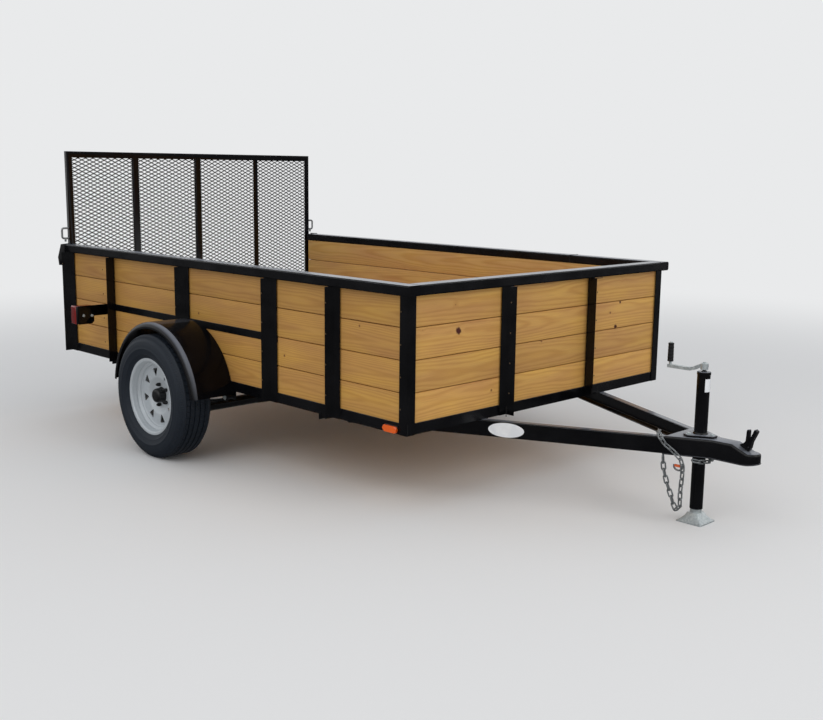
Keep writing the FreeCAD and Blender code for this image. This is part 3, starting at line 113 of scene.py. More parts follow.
def put(tree, kind, inputs=None, ramp=(), span=(), **settings):
    """Adds a node with its settings and its inputs, each a value, a socket or a node's first output.

    A ramp is a colour ramp's stops; a span is a range's start and end, and what they are turned into.
    """
    made = tree.nodes.new(kind)
    for name, setting in settings.items():
        setattr(made, name, setting)
    for socket, given in (inputs or {}).items():
        if isinstance(given, bpy.types.Node):
            given = given.outputs[0]
        if isinstance(given, bpy.types.NodeSocket):
            tree.links.new(given, made.inputs[socket])
        else:
            made.inputs[socket].default_value = given
    for socket, limit in zip(("From Min", "From Max", "To Min", "To Max"), span):
        made.inputs[socket].default_value = limit
    for i, (position, colour) in enumerate(ramp):
        stops = made.color_ramp.elements
        stop = stops[i] if i < 2 else stops.new(position)
        stop.position = position
        stop.color = linear(colour)
    return made


def finish_tree(name):
    """A new material with its empty node tree."""
    made = bpy.data.materials.new(name)
    made.use_nodes = True
    made.node_tree.nodes.clear()
    return made, made.node_tree


def surface(tree, inputs):
    """Ends a material in one shader."""
    put(tree, "ShaderNodeOutputMaterial", {"Surface": put(tree, "ShaderNodeBsdfPrincipled", inputs)})


def black_enamel(name, toward, start, film_and_highlight_colour, shine=0.28):
    """Gloss black alkyd enamel sprayed on rolled steel: deep black, faint orange peel, and a pale film on the
    faces that look in the given direction, from a cosine on. The film is partly dust and partly a painted sky
    highlight."""
    made, tree = finish_tree(name)
    peel_width, patch_width = 7 * MM, 180 * MM
    given = put(tree, "ShaderNodeTexCoord").outputs
    place = given["Object"]
    peel = put(tree, "ShaderNodeTexNoise", {"Vector": place, "Scale": 1 / peel_width, "Detail": 2.0})
    patch_noise = put(tree, "ShaderNodeTexNoise", {"Vector": place, "Scale": 1 / patch_width, "Detail": 6.0,
                                           "Roughness": 0.62})
    paint = put(tree, "ShaderNodeValToRGB", {"Fac": patch_noise}, ramp=((0.35, "#060608"), (0.72, "#0D0D10")))
    # How far a face looks the given way: the pale film there is partly dust and partly a painted sky
    # highlight
    facing = put(tree, "ShaderNodeVectorMath", {0: given["Normal"], 1: toward}, operation="DOT_PRODUCT")
    level = put(tree, "ShaderNodeMapRange", {"Value": facing.outputs["Value"]}, span=(start, 0.99, 0.0, 0.9),
                interpolation_type="SMOOTHSTEP")
    patchy = put(tree, "ShaderNodeMapRange", {"Value": patch_noise}, span=(0.3, 0.7, 0.7, 1.0))
    film_and_highlight = put(tree, "ShaderNodeMath", {0: level, 1: patchy}, operation="MULTIPLY")
    colour = put(tree, "ShaderNodeMix", {"Factor": film_and_highlight, 6: paint, 7: linear(film_and_highlight_colour)}, data_type="RGBA")
    gloss = put(tree, "ShaderNodeMapRange", {"Value": patch_noise}, span=(0.3, 0.75, 0.16, 0.30))
    bump = put(tree, "ShaderNodeBump", {"Height": peel, "Strength": 0.10, "Distance": 0.3 * MM})
    surface(tree, {"Base Color": colour.outputs[2], "Roughness": gloss, "Specular IOR Level": shine,
                   "Normal": bump})
    return made


def large_knots(tree, knots, push):
    """Knots at points of the trailer, each with its radius: adds what they push the rings out by to a push
    that is there already, and gives how dark they make the wood."""
    place = put(tree, "ShaderNodeTexCoord").outputs["Object"]
    ragged_width = 12 * MM
    dark = 0.0
    for point, size in knots:
        ragged = put(tree, "ShaderNodeTexNoise", {"Vector": place, "Scale": 1 / ragged_width, "Detail": 2.0})
        off = put(tree, "ShaderNodeVectorMath", {0: place, 1: point}, operation="DISTANCE").outputs["Value"]
        bulge = put(tree, "ShaderNodeMapRange", {"Value": off}, span=(0.0, 3 * size, size * 0.2, 0.0),
                    interpolation_type="SMOOTHSTEP")
        push = put(tree, "ShaderNodeMath", {0: push, 1: bulge}, operation="ADD")
        rough = put(tree, "ShaderNodeMath", {0: ragged, 1: size * 0.9, 2: off}, operation="MULTIPLY_ADD")
        core = put(tree, "ShaderNodeMapRange", {"Value": rough}, span=(size * 1.1, size * 1.5, 1.0, 0.0))
        dark = put(tree, "ShaderNodeMath", {0: dark, 1: core}, operation="MAXIMUM")
    return push, dark


def drawn_out(tree, grain, scale, roughness=0.5):
    """Noise drawn out along the grain."""
    place = put(tree, "ShaderNodeMapping", {"Vector": grain, "Scale": scale})
    return put(tree, "ShaderNodeTexNoise", {"Vector": place, "Scale": 1.0, "Detail": 3.0,
                                           "Roughness": roughness}).outputs


def growth_rings(tree, grain, push, early, late):
    """Colour of the year rings: arches about a pith that sways along the board, pushed out by knots."""
    ring_width = 9 * MM
    sway = drawn_out(tree, grain, (0.9, 4.0, 4.0), 0.45)["Color"]
    shift = put(tree, "ShaderNodeVectorMath", {0: sway, 1: (0.5, 0.5, 0.5)}, operation="SUBTRACT")
    bent = put(tree, "ShaderNodeVectorMath", {0: shift, 1: (0.0, 0.075, 0.075), 2: grain},
               operation="MULTIPLY_ADD")
    cone = put(tree, "ShaderNodeVectorMath", {0: bent, 1: (0.018, 1.0, 1.0)}, operation="MULTIPLY")
    radius = put(tree, "ShaderNodeVectorMath", {0: cone}, operation="LENGTH").outputs["Value"]
    pushed = put(tree, "ShaderNodeMath", {0: radius, 1: push}, operation="ADD")
    count = put(tree, "ShaderNodeMath", {0: pushed, 1: 1 / ring_width}, operation="MULTIPLY")
    ring = put(tree, "ShaderNodeMath", {0: count}, operation="FRACT")
    return put(tree, "ShaderNodeValToRGB", {"Fac": ring},
               ramp=((0.0, late), (0.99, late), (0.22, early), (0.55, early), (0.86, late)))


def pine(name, early, late, knot, big_knots=()):
    """Flat-sawn treated pine: ring arches about a pith, fibre streaks, small red-brown knots, and big
    ones at given points of the trailer, which the rings bend round."""
    made, tree = finish_tree(name)
    knot_spacing = 430 * MM
    grain = put(tree, "ShaderNodeAttribute", attribute_name="grain").outputs["Vector"]
    tone = put(tree, "ShaderNodeAttribute", attribute_name="tone").outputs["Fac"]
    knots = put(tree, "ShaderNodeTexVoronoi", {"Vector": grain, "Scale": 1 / knot_spacing},
                voronoi_dimensions="2D", feature="F1")
    push = put(tree, "ShaderNodeMapRange", {"Value": knots}, span=(0.0, 0.07, 0.003, 0.0),
               interpolation_type="SMOOTHSTEP")
    if big_knots:
        push, dark = large_knots(tree, big_knots, push)
    rings = growth_rings(tree, grain, push, early, late)
    fibre = drawn_out(tree, grain, (9.0, 420.0, 420.0))["Fac"]
    streak = put(tree, "ShaderNodeMapRange", {"Value": fibre}, span=(0.25, 0.75, 0.90, 1.07))
    blotch = drawn_out(tree, grain, (2.2, 12.0, 12.0))["Fac"]
    warm = put(tree, "ShaderNodeMix", {"Factor": blotch, 6: rings, 7: linear("#E2B76E")},
               data_type="RGBA", blend_type="SOFT_LIGHT")
    cast = put(tree, "ShaderNodeValToRGB", {"Fac": blotch}, ramp=((0.30, "#F3DCCB"), (0.70, "#FFFBEA")))
    tinted = put(tree, "ShaderNodeMix", {"Factor": 1.0, 6: warm.outputs[2], 7: cast},
                 data_type="RGBA", blend_type="MULTIPLY")
    toned = put(tree, "ShaderNodeMapRange", {"Value": tone}, span=(0.0, 1.0, 0.80, 1.08))
    shade = put(tree, "ShaderNodeMath", {0: streak, 1: toned}, operation="MULTIPLY")
    wood = put(tree, "ShaderNodeVectorMath", {0: tinted.outputs[2], "Scale": shade}, operation="SCALE")
    knot_size = put(tree, "ShaderNodeSeparateColor", {"Color": knots.outputs["Color"]})
    edge = put(tree, "ShaderNodeMapRange", {"Value": knot_size}, span=(0.0, 1.0, -0.022, 0.030))
    over = put(tree, "ShaderNodeMath", {0: knots, 1: edge}, operation="SUBTRACT")
    in_knot = put(tree, "ShaderNodeMapRange", {"Value": over}, span=(-0.004, 0.012, 1.0, 0.0))
    colour = put(tree, "ShaderNodeMix", {"Factor": in_knot, 6: wood, 7: linear(knot)}, data_type="RGBA")
    if big_knots:
        colour = put(tree, "ShaderNodeMix", {"Factor": dark, 6: colour.outputs[2], 7: linear("#481405")},
                     data_type="RGBA")
    bump = put(tree, "ShaderNodeBump", {"Height": streak, "Strength": 0.25, "Distance": 0.6 * MM})
    surface(tree, {"Base Color": colour.outputs[2], "Roughness": 0.58, "Specular IOR Level": 0.35,
                   "Normal": bump})
    return made


def speckled(name, colours, roughness, metallic, grit, bump_depth, shine=0.5):
    """A finish whose colour, gloss and relief vary with one noise of a given grit."""
    made, tree = finish_tree(name)
    place = put(tree, "ShaderNodeTexCoord").outputs["Object"]
    grain = put(tree, "ShaderNodeTexNoise", {"Vector": place, "Scale": 1 / grit, "Detail": 3.0})
    colour = put(tree, "ShaderNodeValToRGB", {"Fac": grain}, ramp=((0.36, colours[0]), (0.66, colours[1])))
    gloss = put(tree, "ShaderNodeMapRange", {"Value": grain}, span=(0.3, 0.7, *roughness))
    bump = put(tree, "ShaderNodeBump", {"Height": grain, "Strength": 0.5, "Distance": bump_depth})
    surface(tree, {"Base Color": colour, "Metallic": metallic, "Specular IOR Level": shine,
                   "Roughness": gloss, "Normal": bump})
    return made


def zinc_plate():
    """Bright zinc plate over pressed steel: grey-blue metal with soft spangle cells."""
    made, tree = finish_tree("bright_zinc_plate")
    spangle = 9 * MM
    place = put(tree, "ShaderNodeTexCoord").outputs["Object"]
    cells = put(tree, "ShaderNodeTexVoronoi", {"Vector": place, "Scale": 1 / spangle})
    tint = put(tree, "ShaderNodeSeparateColor", {"Color": cells.outputs["Color"]}).outputs
    colour = put(tree, "ShaderNodeValToRGB", {"Fac": tint["Red"]}, ramp=((0.0, "#ACB4B6"), (1.0, "#CBD1D1")))
    gloss = put(tree, "ShaderNodeMapRange", {"Value": tint["Green"]}, span=(0.0, 1.0, 0.30, 0.46))
    surface(tree, {"Base Color": colour, "Metallic": 0.55, "Roughness": gloss})
    return made


def moulded_lens(name, deep, bright):
    """Moulded acrylic lens: clear gloss over fine upright prisms that break the light up."""
    made, tree = finish_tree(name)
    pitch = 5 * MM
    place = put(tree, "ShaderNodeTexCoord").outputs["Object"]
    prism_wave = put(tree, "ShaderNodeTexWave", {"Vector": place, "Scale": 1 / (pitch * 2 * math.pi)},
                     bands_direction="Y").outputs["Fac"]
    colour = put(tree, "ShaderNodeValToRGB", {"Fac": prism_wave}, ramp=((0.1, deep), (0.9, bright)))
    bump = put(tree, "ShaderNodeBump", {"Height": prism_wave, "Strength": 0.3, "Distance": 0.5 * MM})
    surface(tree, {"Base Color": colour, "Roughness": 0.16, "Coat Weight": 0.7, "Coat Roughness": 0.04,
                   "Normal": bump})
    return made


# Black enamel whose level tops get a pale grey film: partly dust, partly a painted sky highlight
ENAMEL = black_enamel("gloss_black_enamel", (0, 0, 1), 0.86, "#858992")
# The fenders' rolled sheet gets only a faint grey on its level top; their lips carry a pale film on the part
# that looks up and ahead, partly road dust and partly a painted sky highlight
FENDER_ENAMEL = black_enamel("clean_black_enamel", (0, 0, 1), 0.985, "#3A3C42", 0.13)
LIP_ENAMEL = black_enamel("lip_enamel_film_and_painted_highlight", (0.45, 0, 0.893), 0.36, "#7C808A")
PINE = pine("treated_pine_wall_boards", "#C3A36C", "#B69561", "#6B3A1C")
# The left wall's boards, paler
PALE_PINE = pine("pale_pine_wall_boards", "#DDBF8F", "#D0AF7C", "#8A5A34")
# The front wall's big knots: place across, height and radius, mm
FRONT_KNOTS = ((-641, 817, 19), (601, 849, 9), (567, 722, 14))
FRONT_PINE = pine("treated_pine_front_boards", "#CCAC75", "#BF9D69", "#6B3A1C",
                  [(Vector((FRONT_FACE - 8 * MM, across * MM, height * MM)), radius * MM)
                   for across, height, radius in FRONT_KNOTS])
DECK_PINE = pine("treated_pine_deck_planks", "#D5B684", "#C4A26F", "#6B4222")
# Silver wheel enamel: bright fine flake under a satin clear coat
SILVER = speckled("silver_wheel_enamel", ("#B4BABE", "#C6CBCE"), (0.30, 0.40), 0.2, 1.2 * MM, 0.02 * MM)
# Tyre rubber, cured in a mould: blue-black, dull, with a fine grain
RUBBER = speckled("tyre_rubber", ("#171D25", "#212933"), (0.48, 0.64), 0.0, 2.5 * MM, 0.12 * MM, 0.3)
# Painted shade on the wheel's inboard side, which lies in shade behind the disc: brown-black, dull, uneven
PAINTED_RIM_SHADE = speckled("painted_shade_rim_inside", ("#121110", "#232120"), (0.75, 0.9), 0.0, 18 * MM, 0.3 * MM, 0.2)
# Satin black baked enamel on the cast hub
HUB_BLACK = speckled("satin_black_hub_enamel", ("#08080A", "#101012"), (0.30, 0.44), 0.0, 5 * MM, 0.1 * MM,
                     0.4)
# Dipped vinyl grip: soft black with a faint orange peel
VINYL = speckled("black_vinyl_grip", ("#0C0C0D", "#141415"), (0.42, 0.56), 0.0, 3 * MM, 0.1 * MM, 0.35)
# White vinyl film, calendered: even, a little warm where it has weathered
WHITE_VINYL = speckled("white_vinyl_film", ("#E6E8EB", "#F3F4F5"), (0.30, 0.38), 0.0, 40 * MM, 0.02 * MM)
# Yellow-passivated steel screws: bronze tint, half metal, scratched by the driver
BRONZE = speckled("yellow_passivated_screws", ("#443624", "#63513A"), (0.40, 0.55), 0.5, 1.5 * MM, 0.04 * MM)
ZINC = zinc_plate()
RED_LENS = moulded_lens("red_acrylic_lens", "#5C0B0B", "#8E1A15")
AMBER_LENS = moulded_lens("amber_acrylic_lens", "#D8480E", "#F26A1F")
# Chain wire: zinc plate dulled by handling and weather, with a fine grain
CHAIN_ZINC = speckled("dull_zinc_chain", ("#696D70", "#989B9B"), (0.38, 0.52), 0.6, 4 * MM, 0.05 * MM)
# Orange powder coat on the hook's spring latch
ORANGE = speckled("orange_powder_coat", ("#D9581C", "#EA6B28"), (0.36, 0.48), 0.0, 2 * MM, 0.05 * MM)


def linked(name, content):
    """A new object in the scene with its mesh, lamp or camera."""
    made = bpy.data.objects.new(name, content)
    bpy.context.scene.collection.objects.link(made)
    return made


def piece(name, mesh, finish, body, slot, *stands_for):
    """Puts a finished mesh on its body, with its material and the nodes that it stands for; the slot is not
    used.
    """
    made = linked(name, mesh)
    if not mesh.materials:
        mesh.materials.append(finish)
    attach(made, body)
    if stands_for:
        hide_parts(*stands_for)
    return made


def smoothed(mesh, angle):
    """Shades a mesh smooth but for the edges sharper than an angle."""
    mesh.shade_smooth()
    mesh.set_sharp_from_angle(angle=math.radians(angle))
    return mesh


def mesh_of(bm, name, angle=38):
    """A mesh from a bmesh, smooth but for the edges sharper than an angle."""
    mesh = bpy.data.meshes.new(name)
    bm.to_mesh(mesh)
    bm.free()
    return smoothed(mesh, angle)


def plain_mesh(carrier):
    """The evaluated mesh of a carrier, which goes away with its modifiers."""
    result = bpy.data.meshes.new_from_object(carrier.evaluated_get(bpy.context.evaluated_depsgraph_get()))
    bpy.data.objects.remove(carrier)
    return result


def tidy(bm, distance=1e-5):
    """Merges doubles, drops collapsed faces and turns all faces outward."""
    bmesh.ops.remove_doubles(bm, verts=bm.verts, dist=distance)
    bmesh.ops.dissolve_degenerate(bm, edges=bm.edges, dist=distance / 10)
    bmesh.ops.recalc_face_normals(bm, faces=bm.faces)


def made_of(bm, name, angle, finish, body, slot, *stands_for):
    """Tidies a bmesh and makes it a piece."""
    tidy(bm)
    return piece(name, mesh_of(bm, name, angle), finish, body, slot, *stands_for)


def ease(bm, edges, width, segments=2, **form):
    """Rounds edges over."""
    bmesh.ops.bevel(bm, geom=list(edges), offset=width, segments=segments, affect="EDGES", **form)


def scaled(points, out=1):
    """Pairs of a radius and a reach in mm as metres, with the reach turned to a side."""
    return [(radius * MM, out * reach * MM) for radius, reach in points]


def shifted(points, radius, height):
    """Pairs of a radius and a height in mm as metres, moved by a radius and a height."""
    return [(radius + r * MM, height + z * MM) for r, z in points]


def band(bm, one, two, closed=True):
    """Adds a strip of faces between two rows of vertices and returns them."""
    count = len(one)
    return [bm.faces.new((one[i], one[(i + 1) % count], two[(i + 1) % count], two[i]))
            for i in range(count if closed else count - 1)]


def prism(bm, near, far):
    """Adds a solid between two outlines of as many points and returns its two end faces."""
    one, two = ([bm.verts.new(point) for point in outline] for outline in (near, far))
    band(bm, one, two)
    return [bm.faces.new(one[::-1]), bm.faces.new(two)]


def slab(bm, outline, low, high, width, segments=2):
    """Adds an upright prism over a plan of (x, y) points and eases its edges."""
    ends = prism(bm, *([(x, y, level) for x, y in outline] for level in (low, high)))
    ease(bm, {edge for face in ends for edge in face.edges}, width, segments, profile=0.5)


def block(bm, low, high, width, segments=2):
    """Adds a box with eased edges and returns its vertices."""
    before = set(bm.verts)
    corners = bmesh.ops.create_cube(bm, size=1.0)["verts"]
    for vert in corners:
        vert.co = Vector([low[i] + (vert.co[i] + 0.5) * (high[i] - low[i]) for i in range(3)])
    ease(bm, {edge for vert in corners for edge in vert.link_edges}, width, segments, profile=0.5)
    return [vert for vert in bm.verts if vert not in before]


def lathe(bm, profile, centre, axis="Y", steps=64, start=0.0, turn=2 * math.pi):
    """Turns a profile of (radius, along) about the Y or Z axis through a centre; a part turn stays open."""
    closed = turn == 2 * math.pi
    rings = []
    for i in range(steps if closed else steps + 1):
        angle = start + turn * i / steps
        ring = []
        for radius, along in profile:
            u, w = radius * math.cos(angle), radius * math.sin(angle)
            offset = (u, along, w) if axis == "Y" else (u, w, along)
            ring.append(bm.verts.new(Vector(centre) + Vector(offset)))
        rings.append(ring)
    for one, two in zip(rings, rings[1:] + (rings[:1] if closed else [])):
        band(bm, one, two, closed=False)
    return [vert for ring in rings for vert in ring]


def swept(bm, points, radius, sides=10, closed=False):
    """Adds a round bar along points, mitred at each bend."""
    rings = []
    count = len(points)
    side = None
    for i, point in enumerate(points):
        back = points[i - 1] if i or closed else None
        ahead = points[(i + 1) % count] if i + 1 < count or closed else None
        into = (point - back).normalized() if back is not None else (ahead - point).normalized()
        out = (ahead - point).normalized() if ahead is not None else into
        way = (into + out).normalized()
        if side is None:
            side = way.orthogonal().normalized()
        side = (side - side.dot(way) * way).normalized()
        up = way.cross(side)
        stretch = 1 / max(0.35, math.sqrt((1 + into.dot(out)) / 2))
        lean = out - into
        lean = lean.normalized() if lean.length > 1e-6 else side
        ring = []
        for k in range(sides):
            turn = 2 * math.pi * k / sides
            offset = radius * (math.cos(turn) * side + math.sin(turn) * up)
            offset += lean * offset.dot(lean) * (stretch - 1)
            ring.append(bm.verts.new(point + offset))
        rings.append(ring)
    for one, two in zip(rings, rings[1:] + (rings[:1] if closed else [])):
        band(bm, one, two)
    if not closed:
        bm.faces.new(rings[0][::-1])
        bm.faces.new(rings[-1])


def corner_curve(before, corner, after, radius, share, steps):
    """The points that round one corner of a line, where each curve may take a share of its two sides."""
    into, out = before - corner, after - corner
    reach = min(radius / math.tan(into.normalized().angle(out.normalized()) / 2), into.length / share,
                out.length / share)
    start, end = corner + into.normalized() * reach, corner + out.normalized() * reach
    return [(1 - t) ** 2 * start + 2 * t * (1 - t) * corner + t * t * end
            for t in (k / steps for k in range(steps + 1))]


def rounded_route(points, radius, steps):
    """A route with its corners rounded."""
    points = [Vector(point) for point in points]
    bends = [corner_curve(*three, radius, 2, steps) for three in zip(points, points[1:], points[2:])]
    return [points[0], *(point for bend in bends for point in bend), points[-1]]


def round_corners(outline, radius, steps):
    """A closed plan of (x, y) points with its corners rounded."""
    corners = [Vector(point) for point in outline]
    threes = zip(corners[-1:] + corners[:-1], corners, corners[1:] + corners[:1])
    return [(bent.x, bent.y) for three in threes for bent in corner_curve(*three, radius, 2.01, steps)]


def rounded_box(low, high, radius, steps):
    """The plan of a rectangle with its corners rounded."""
    return round_corners(((low[0], low[1]), (high[0], low[1]), (high[0], high[1]), (low[0], high[1])),
                         radius, steps)


def grown(name, tree, inputs, mesh=None):
    """Runs a geometry tree, on a mesh where it needs one, and keeps its result as a plain mesh."""
    carrier = linked(name, mesh or bpy.data.meshes.new(name))
    modifier = carrier.modifiers.new("grow", "NODES")
    modifier.node_group = tree
    sockets = {item.name: item.identifier for item in tree.interface.items_tree if item.in_out == "INPUT"}
    for label, given in inputs.items():
        modifier[sockets[label]] = given
    return plain_mesh(carrier)


def geometry_tree(name, sizes):
    """A geometry tree with named size inputs, and its inputs' sockets."""
    tree = bpy.data.node_groups.new(name, "GeometryNodeTree")
    tree.interface.new_socket("Geometry", in_out="INPUT", socket_type="NodeSocketGeometry")
    for label, kind in sizes:
        tree.interface.new_socket(label, in_out="INPUT", socket_type=f"NodeSocket{kind}")
    tree.interface.new_socket("Geometry", in_out="OUTPUT", socket_type="NodeSocketGeometry")
    return tree, put(tree, "NodeGroupInput").outputs


def close_tree(tree, instances, finish):
    """Ends a geometry tree in real meshes with their material, and returns it."""
    real = put(tree, "GeometryNodeRealizeInstances", {0: instances})
    put(tree, "NodeGroupOutput", {0: put(tree, "GeometryNodeSetMaterial", {0: real, "Material": finish})})
    return tree


def scatter_tree(finish):
    """Sets a small mesh on every point of the carrier, turned by the point's own attribute."""
    tree, given = geometry_tree("set_on_points", (("Small piece", "Object"),))
    turn = put(tree, "GeometryNodeInputNamedAttribute", {"Name": "turn"}, data_type="FLOAT_VECTOR")
    small = put(tree, "GeometryNodeObjectInfo", {"Object": given["Small piece"]}).outputs["Geometry"]
    return close_tree(tree, put(tree, "GeometryNodeInstanceOnPoints", {
        "Points": given["Geometry"], "Instance": small, "Rotation": turn}), finish)


def scattered(name, small, places, finish):
    """One mesh with a copy of a small mesh at each place, given as (point, Euler turn)."""
    carrier = bpy.data.meshes.new(name)
    carrier.from_pydata([tuple(point) for point, _ in places], [], [])
    turns = carrier.attributes.new("turn", "FLOAT_VECTOR", "POINT")
    for i, (_, turn) in enumerate(places):
        turns.data[i].vector = tuple(turn)
    sample = linked(f"{name}_sample", small)
    mesh = grown(name, scatter_tree(finish), {"Small piece": sample}, carrier)
    bpy.data.objects.remove(sample)
    return mesh


def carved(mesh, cutters):
    """Cuts one mesh by another and returns what is left."""
    base, tool = linked("carved_base", mesh), linked("carved_tool", cutters)
    step = base.modifiers.new("cut", "BOOLEAN")
    step.operation = "DIFFERENCE"
    step.solver = "EXACT"
    step.object = tool
    left = plain_mesh(base)
    bpy.data.objects.remove(tool)
    return smoothed(left, 32)


def loose_parts(node):
    """The separate solids of a steel node, each as an array of its corners."""
    bm = bmesh.new()
    bm.from_mesh(steel_nodes[node].data)
    bmesh.ops.remove_doubles(bm, verts=bm.verts, dist=1e-6)
    left = set(bm.verts)
    parts = []
    while left:
        queue = [left.pop()]
        part = []
        while queue:
            vert = queue.pop()
            part.append(tuple(vert.co))
            for edge in vert.link_edges:
                other = edge.other_vert(vert)
                if other in left:
                    left.remove(other)
                    queue.append(other)
        parts.append(numpy.array(sorted(part)))
    bm.free()
    return sorted(parts, key=lambda corners: tuple(corners.min(axis=0)))


def part_boxes(node):
    """The lowest and highest corner of each separate solid of a steel node."""
    return [(corners.min(axis=0), corners.max(axis=0)) for corners in loose_parts(node)]


# Boards: piece, node, how many, axis that they lie side by side on, axis that they run along, finish,
# seed of their grain, gap in mm
BOARDS = (
    ("wall_boards_right", "planks_right", 4, 2, 0, PINE, 11, 3.2),
    ("wall_boards_left", "planks_left", 4, 2, 0, PALE_PINE, 23, 3.2),
    ("wall_boards_front", "planks_front", 4, 2, 1, FRONT_PINE, 37, 3.2),
    ("deck_boards", "deck_planks", 10, 1, 0, DECK_PINE, 51, 6),
)
BOARD_EASE = 3.5 * MM


def boards(name, node, count, across, along, finish, seed, gap):
    """Planks with eased edges in a stack or a floor, each with its own cut of grain."""
    low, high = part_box(node)
    through = 3 - across - along
    bm = bmesh.new()
    grain = bm.verts.layers.float_vector.new("grain")
    tone = bm.verts.layers.float.new("tone")
    chance = random.Random(seed)
    width = (high[across] - low[across] - (count - 1) * gap * MM) / count
    for i in range(count):
        bottom, top = low.copy(), high.copy()
        bottom[across] = low[across] + i * (width + gap * MM)
        top[across] = bottom[across] + width
        shift = Vector((chance.uniform(-3, 3), chance.uniform(-0.03, 0.03), chance.uniform(0.015, 0.075)))
        shade = chance.random()
        middle = (bottom + top) / 2
        for vert in block(bm, bottom, top, BOARD_EASE, 3):
            vert[grain] = Vector([vert.co[axis] - middle[axis] for axis in (along, across, through)]) + shift
            vert[tone] = shade
    return piece(name, mesh_of(bm, name), finish, "frame", "pine", node)


# Steel that keeps its form and gets rounded edges: rounding and shortest edge that gets it in mm, body, nodes
EASED_STEEL = (
    (1.4, 0, "frame", ("main_rail_right", "main_rail_left", "main_rail_front", "main_rail_rear",
                       "crossmembers", "posts_right", "posts_left", "posts_front")),
    (1.2, 0, "frame", ("mid_rail_right", "mid_rail_left")),
    (5.0, 500, "frame", ("top_rail_right", "top_rail_left", "top_rail_front")),
    (4.0, 500, "frame", ("tongue_right", "tongue_left")),
    (1.4, 0, "frame", ("lamp_bracket_right", "lamp_bracket_left")),
    (1.0, 0, "frame", ("gate_brackets",)),
    (1.0, 0, "gate", ("gate_frame",)),
    (1.5, 0, "frame", ("axle",)),
    (1.0, 0, "frame", ("spring_hangers",)),
)


def eased(node, width, shortest, body):
    """A copy of a steel node with the sharp edges longer than a length rounded over."""
    bm = bmesh.new()
    bm.from_mesh(steel_nodes[node].data)
    bmesh.ops.remove_doubles(bm, verts=bm.verts, dist=1e-5)
    bmesh.ops.dissolve_limit(bm, angle_limit=math.radians(1.0), verts=bm.verts, edges=bm.edges)
    sharp = [e for e in bm.edges if len(e.link_faces) == 2 and e.calc_face_angle() > math.radians(28)
             and e.calc_length() > shortest * MM]
    ease(bm, sharp, width * MM, clamp_overlap=not shortest)
    return piece(f"{node}_eased", mesh_of(bm, node), ENAMEL, body, "black_paint", node)


def strand_tree():
    """Expanded metal: short flat strands in a lattice of diamonds, each tilted out of the sheet."""
    tree, given = geometry_tree("expanded_metal", (
        ("Width", "Float"), ("Height", "Float"), ("Columns", "Int"), ("Rows", "Int"), ("Strand", "Vector"),
        ("Middle", "Vector"), ("Slope", "Float"), ("Tilt", "Float")))
    rows = given["Rows"]
    grid = put(tree, "GeometryNodeMeshGrid", {"Size X": given["Width"], "Size Y": given["Height"],
                                             "Vertices X": given["Columns"], "Vertices Y": rows})
    index = put(tree, "GeometryNodeInputIndex")
    columns_past = put(tree, "ShaderNodeMath", {0: index, 1: rows}, operation="DIVIDE")
    column = put(tree, "ShaderNodeMath", {0: columns_past}, operation="FLOOR")
    row = put(tree, "ShaderNodeMath", {0: index, 1: rows}, operation="MODULO")
    both = put(tree, "ShaderNodeMath", {0: column, 1: row}, operation="ADD")
    odd = put(tree, "ShaderNodeMath", {0: both, 1: 2.0}, operation="MODULO")
    sign = put(tree, "ShaderNodeMath", {0: odd, 1: 2.0, 2: -1.0}, operation="MULTIPLY_ADD")
    slope = put(tree, "ShaderNodeMath", {0: sign, 1: given["Slope"]}, operation="MULTIPLY")
    turn = put(tree, "ShaderNodeCombineXYZ", {"X": given["Tilt"], "Z": slope})
    strand = put(tree, "GeometryNodeMeshCube", {"Size": given["Strand"]})
    lattice = put(tree, "GeometryNodeInstanceOnPoints", {
        "Points": grid, "Instance": strand, "Rotation": turn})
    upright = put(tree, "GeometryNodeTransform", {
        0: lattice, "Translation": given["Middle"], "Rotation": (math.pi / 2, 0.0, math.pi / 2)})
    return close_tree(tree, upright, ENAMEL)


# Legs of the gate's three inner uprights: their middles across and half their thickness, mm
GATE_LEGS = (-487.4, -17.4, 487.4)
GATE_LEG_HALF = 2.1
# Diamond of the expanded metal, and a strand's width and thickness, mm
DIAMOND_LONG = 50.8
DIAMOND_SHORT = 23.4
STRAND_WIDTH = 5.4
STRAND_THICK = 2.4
STRAND_TILT = math.radians(28)


def gate_sheet():
    """The gate's four mesh panels, each between two uprights' legs."""
    low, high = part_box("gate_mesh")
    rights = [low.y] + [(leg + GATE_LEG_HALF) * MM for leg in GATE_LEGS]
    lefts = [(leg - GATE_LEG_HALF) * MM for leg in GATE_LEGS] + [high.y]
    tree = strand_tree()
    joined = bmesh.new()
    for right, left in zip(rights, lefts):
        columns = round((left - right) / (DIAMOND_LONG * MM / 2))
        rows = round((high.z - low.z) / (DIAMOND_SHORT * MM / 2))
        step_y, step_z = (left - right) / columns, (high.z - low.z) / rows
        joined.from_mesh(grown("gate_sheet_bay", tree, {
            "Width": (columns - 1) * step_y, "Height": (rows - 1) * step_z, "Columns": columns, "Rows": rows,
            "Strand": (math.hypot(step_y, step_z) + 1 * MM, STRAND_WIDTH * MM, STRAND_THICK * MM),
            "Middle": ((low.x + high.x) / 2, (right + left) / 2, (low.z + high.z) / 2),
            "Slope": math.atan2(step_z, step_y), "Tilt": STRAND_TILT}))
    mesh = bpy.data.meshes.new("expanded_mesh")
    joined.to_mesh(mesh)
    joined.free()
    piece("gate_expanded_mesh", mesh, ENAMEL, "gate", "black_paint", "gate_mesh")


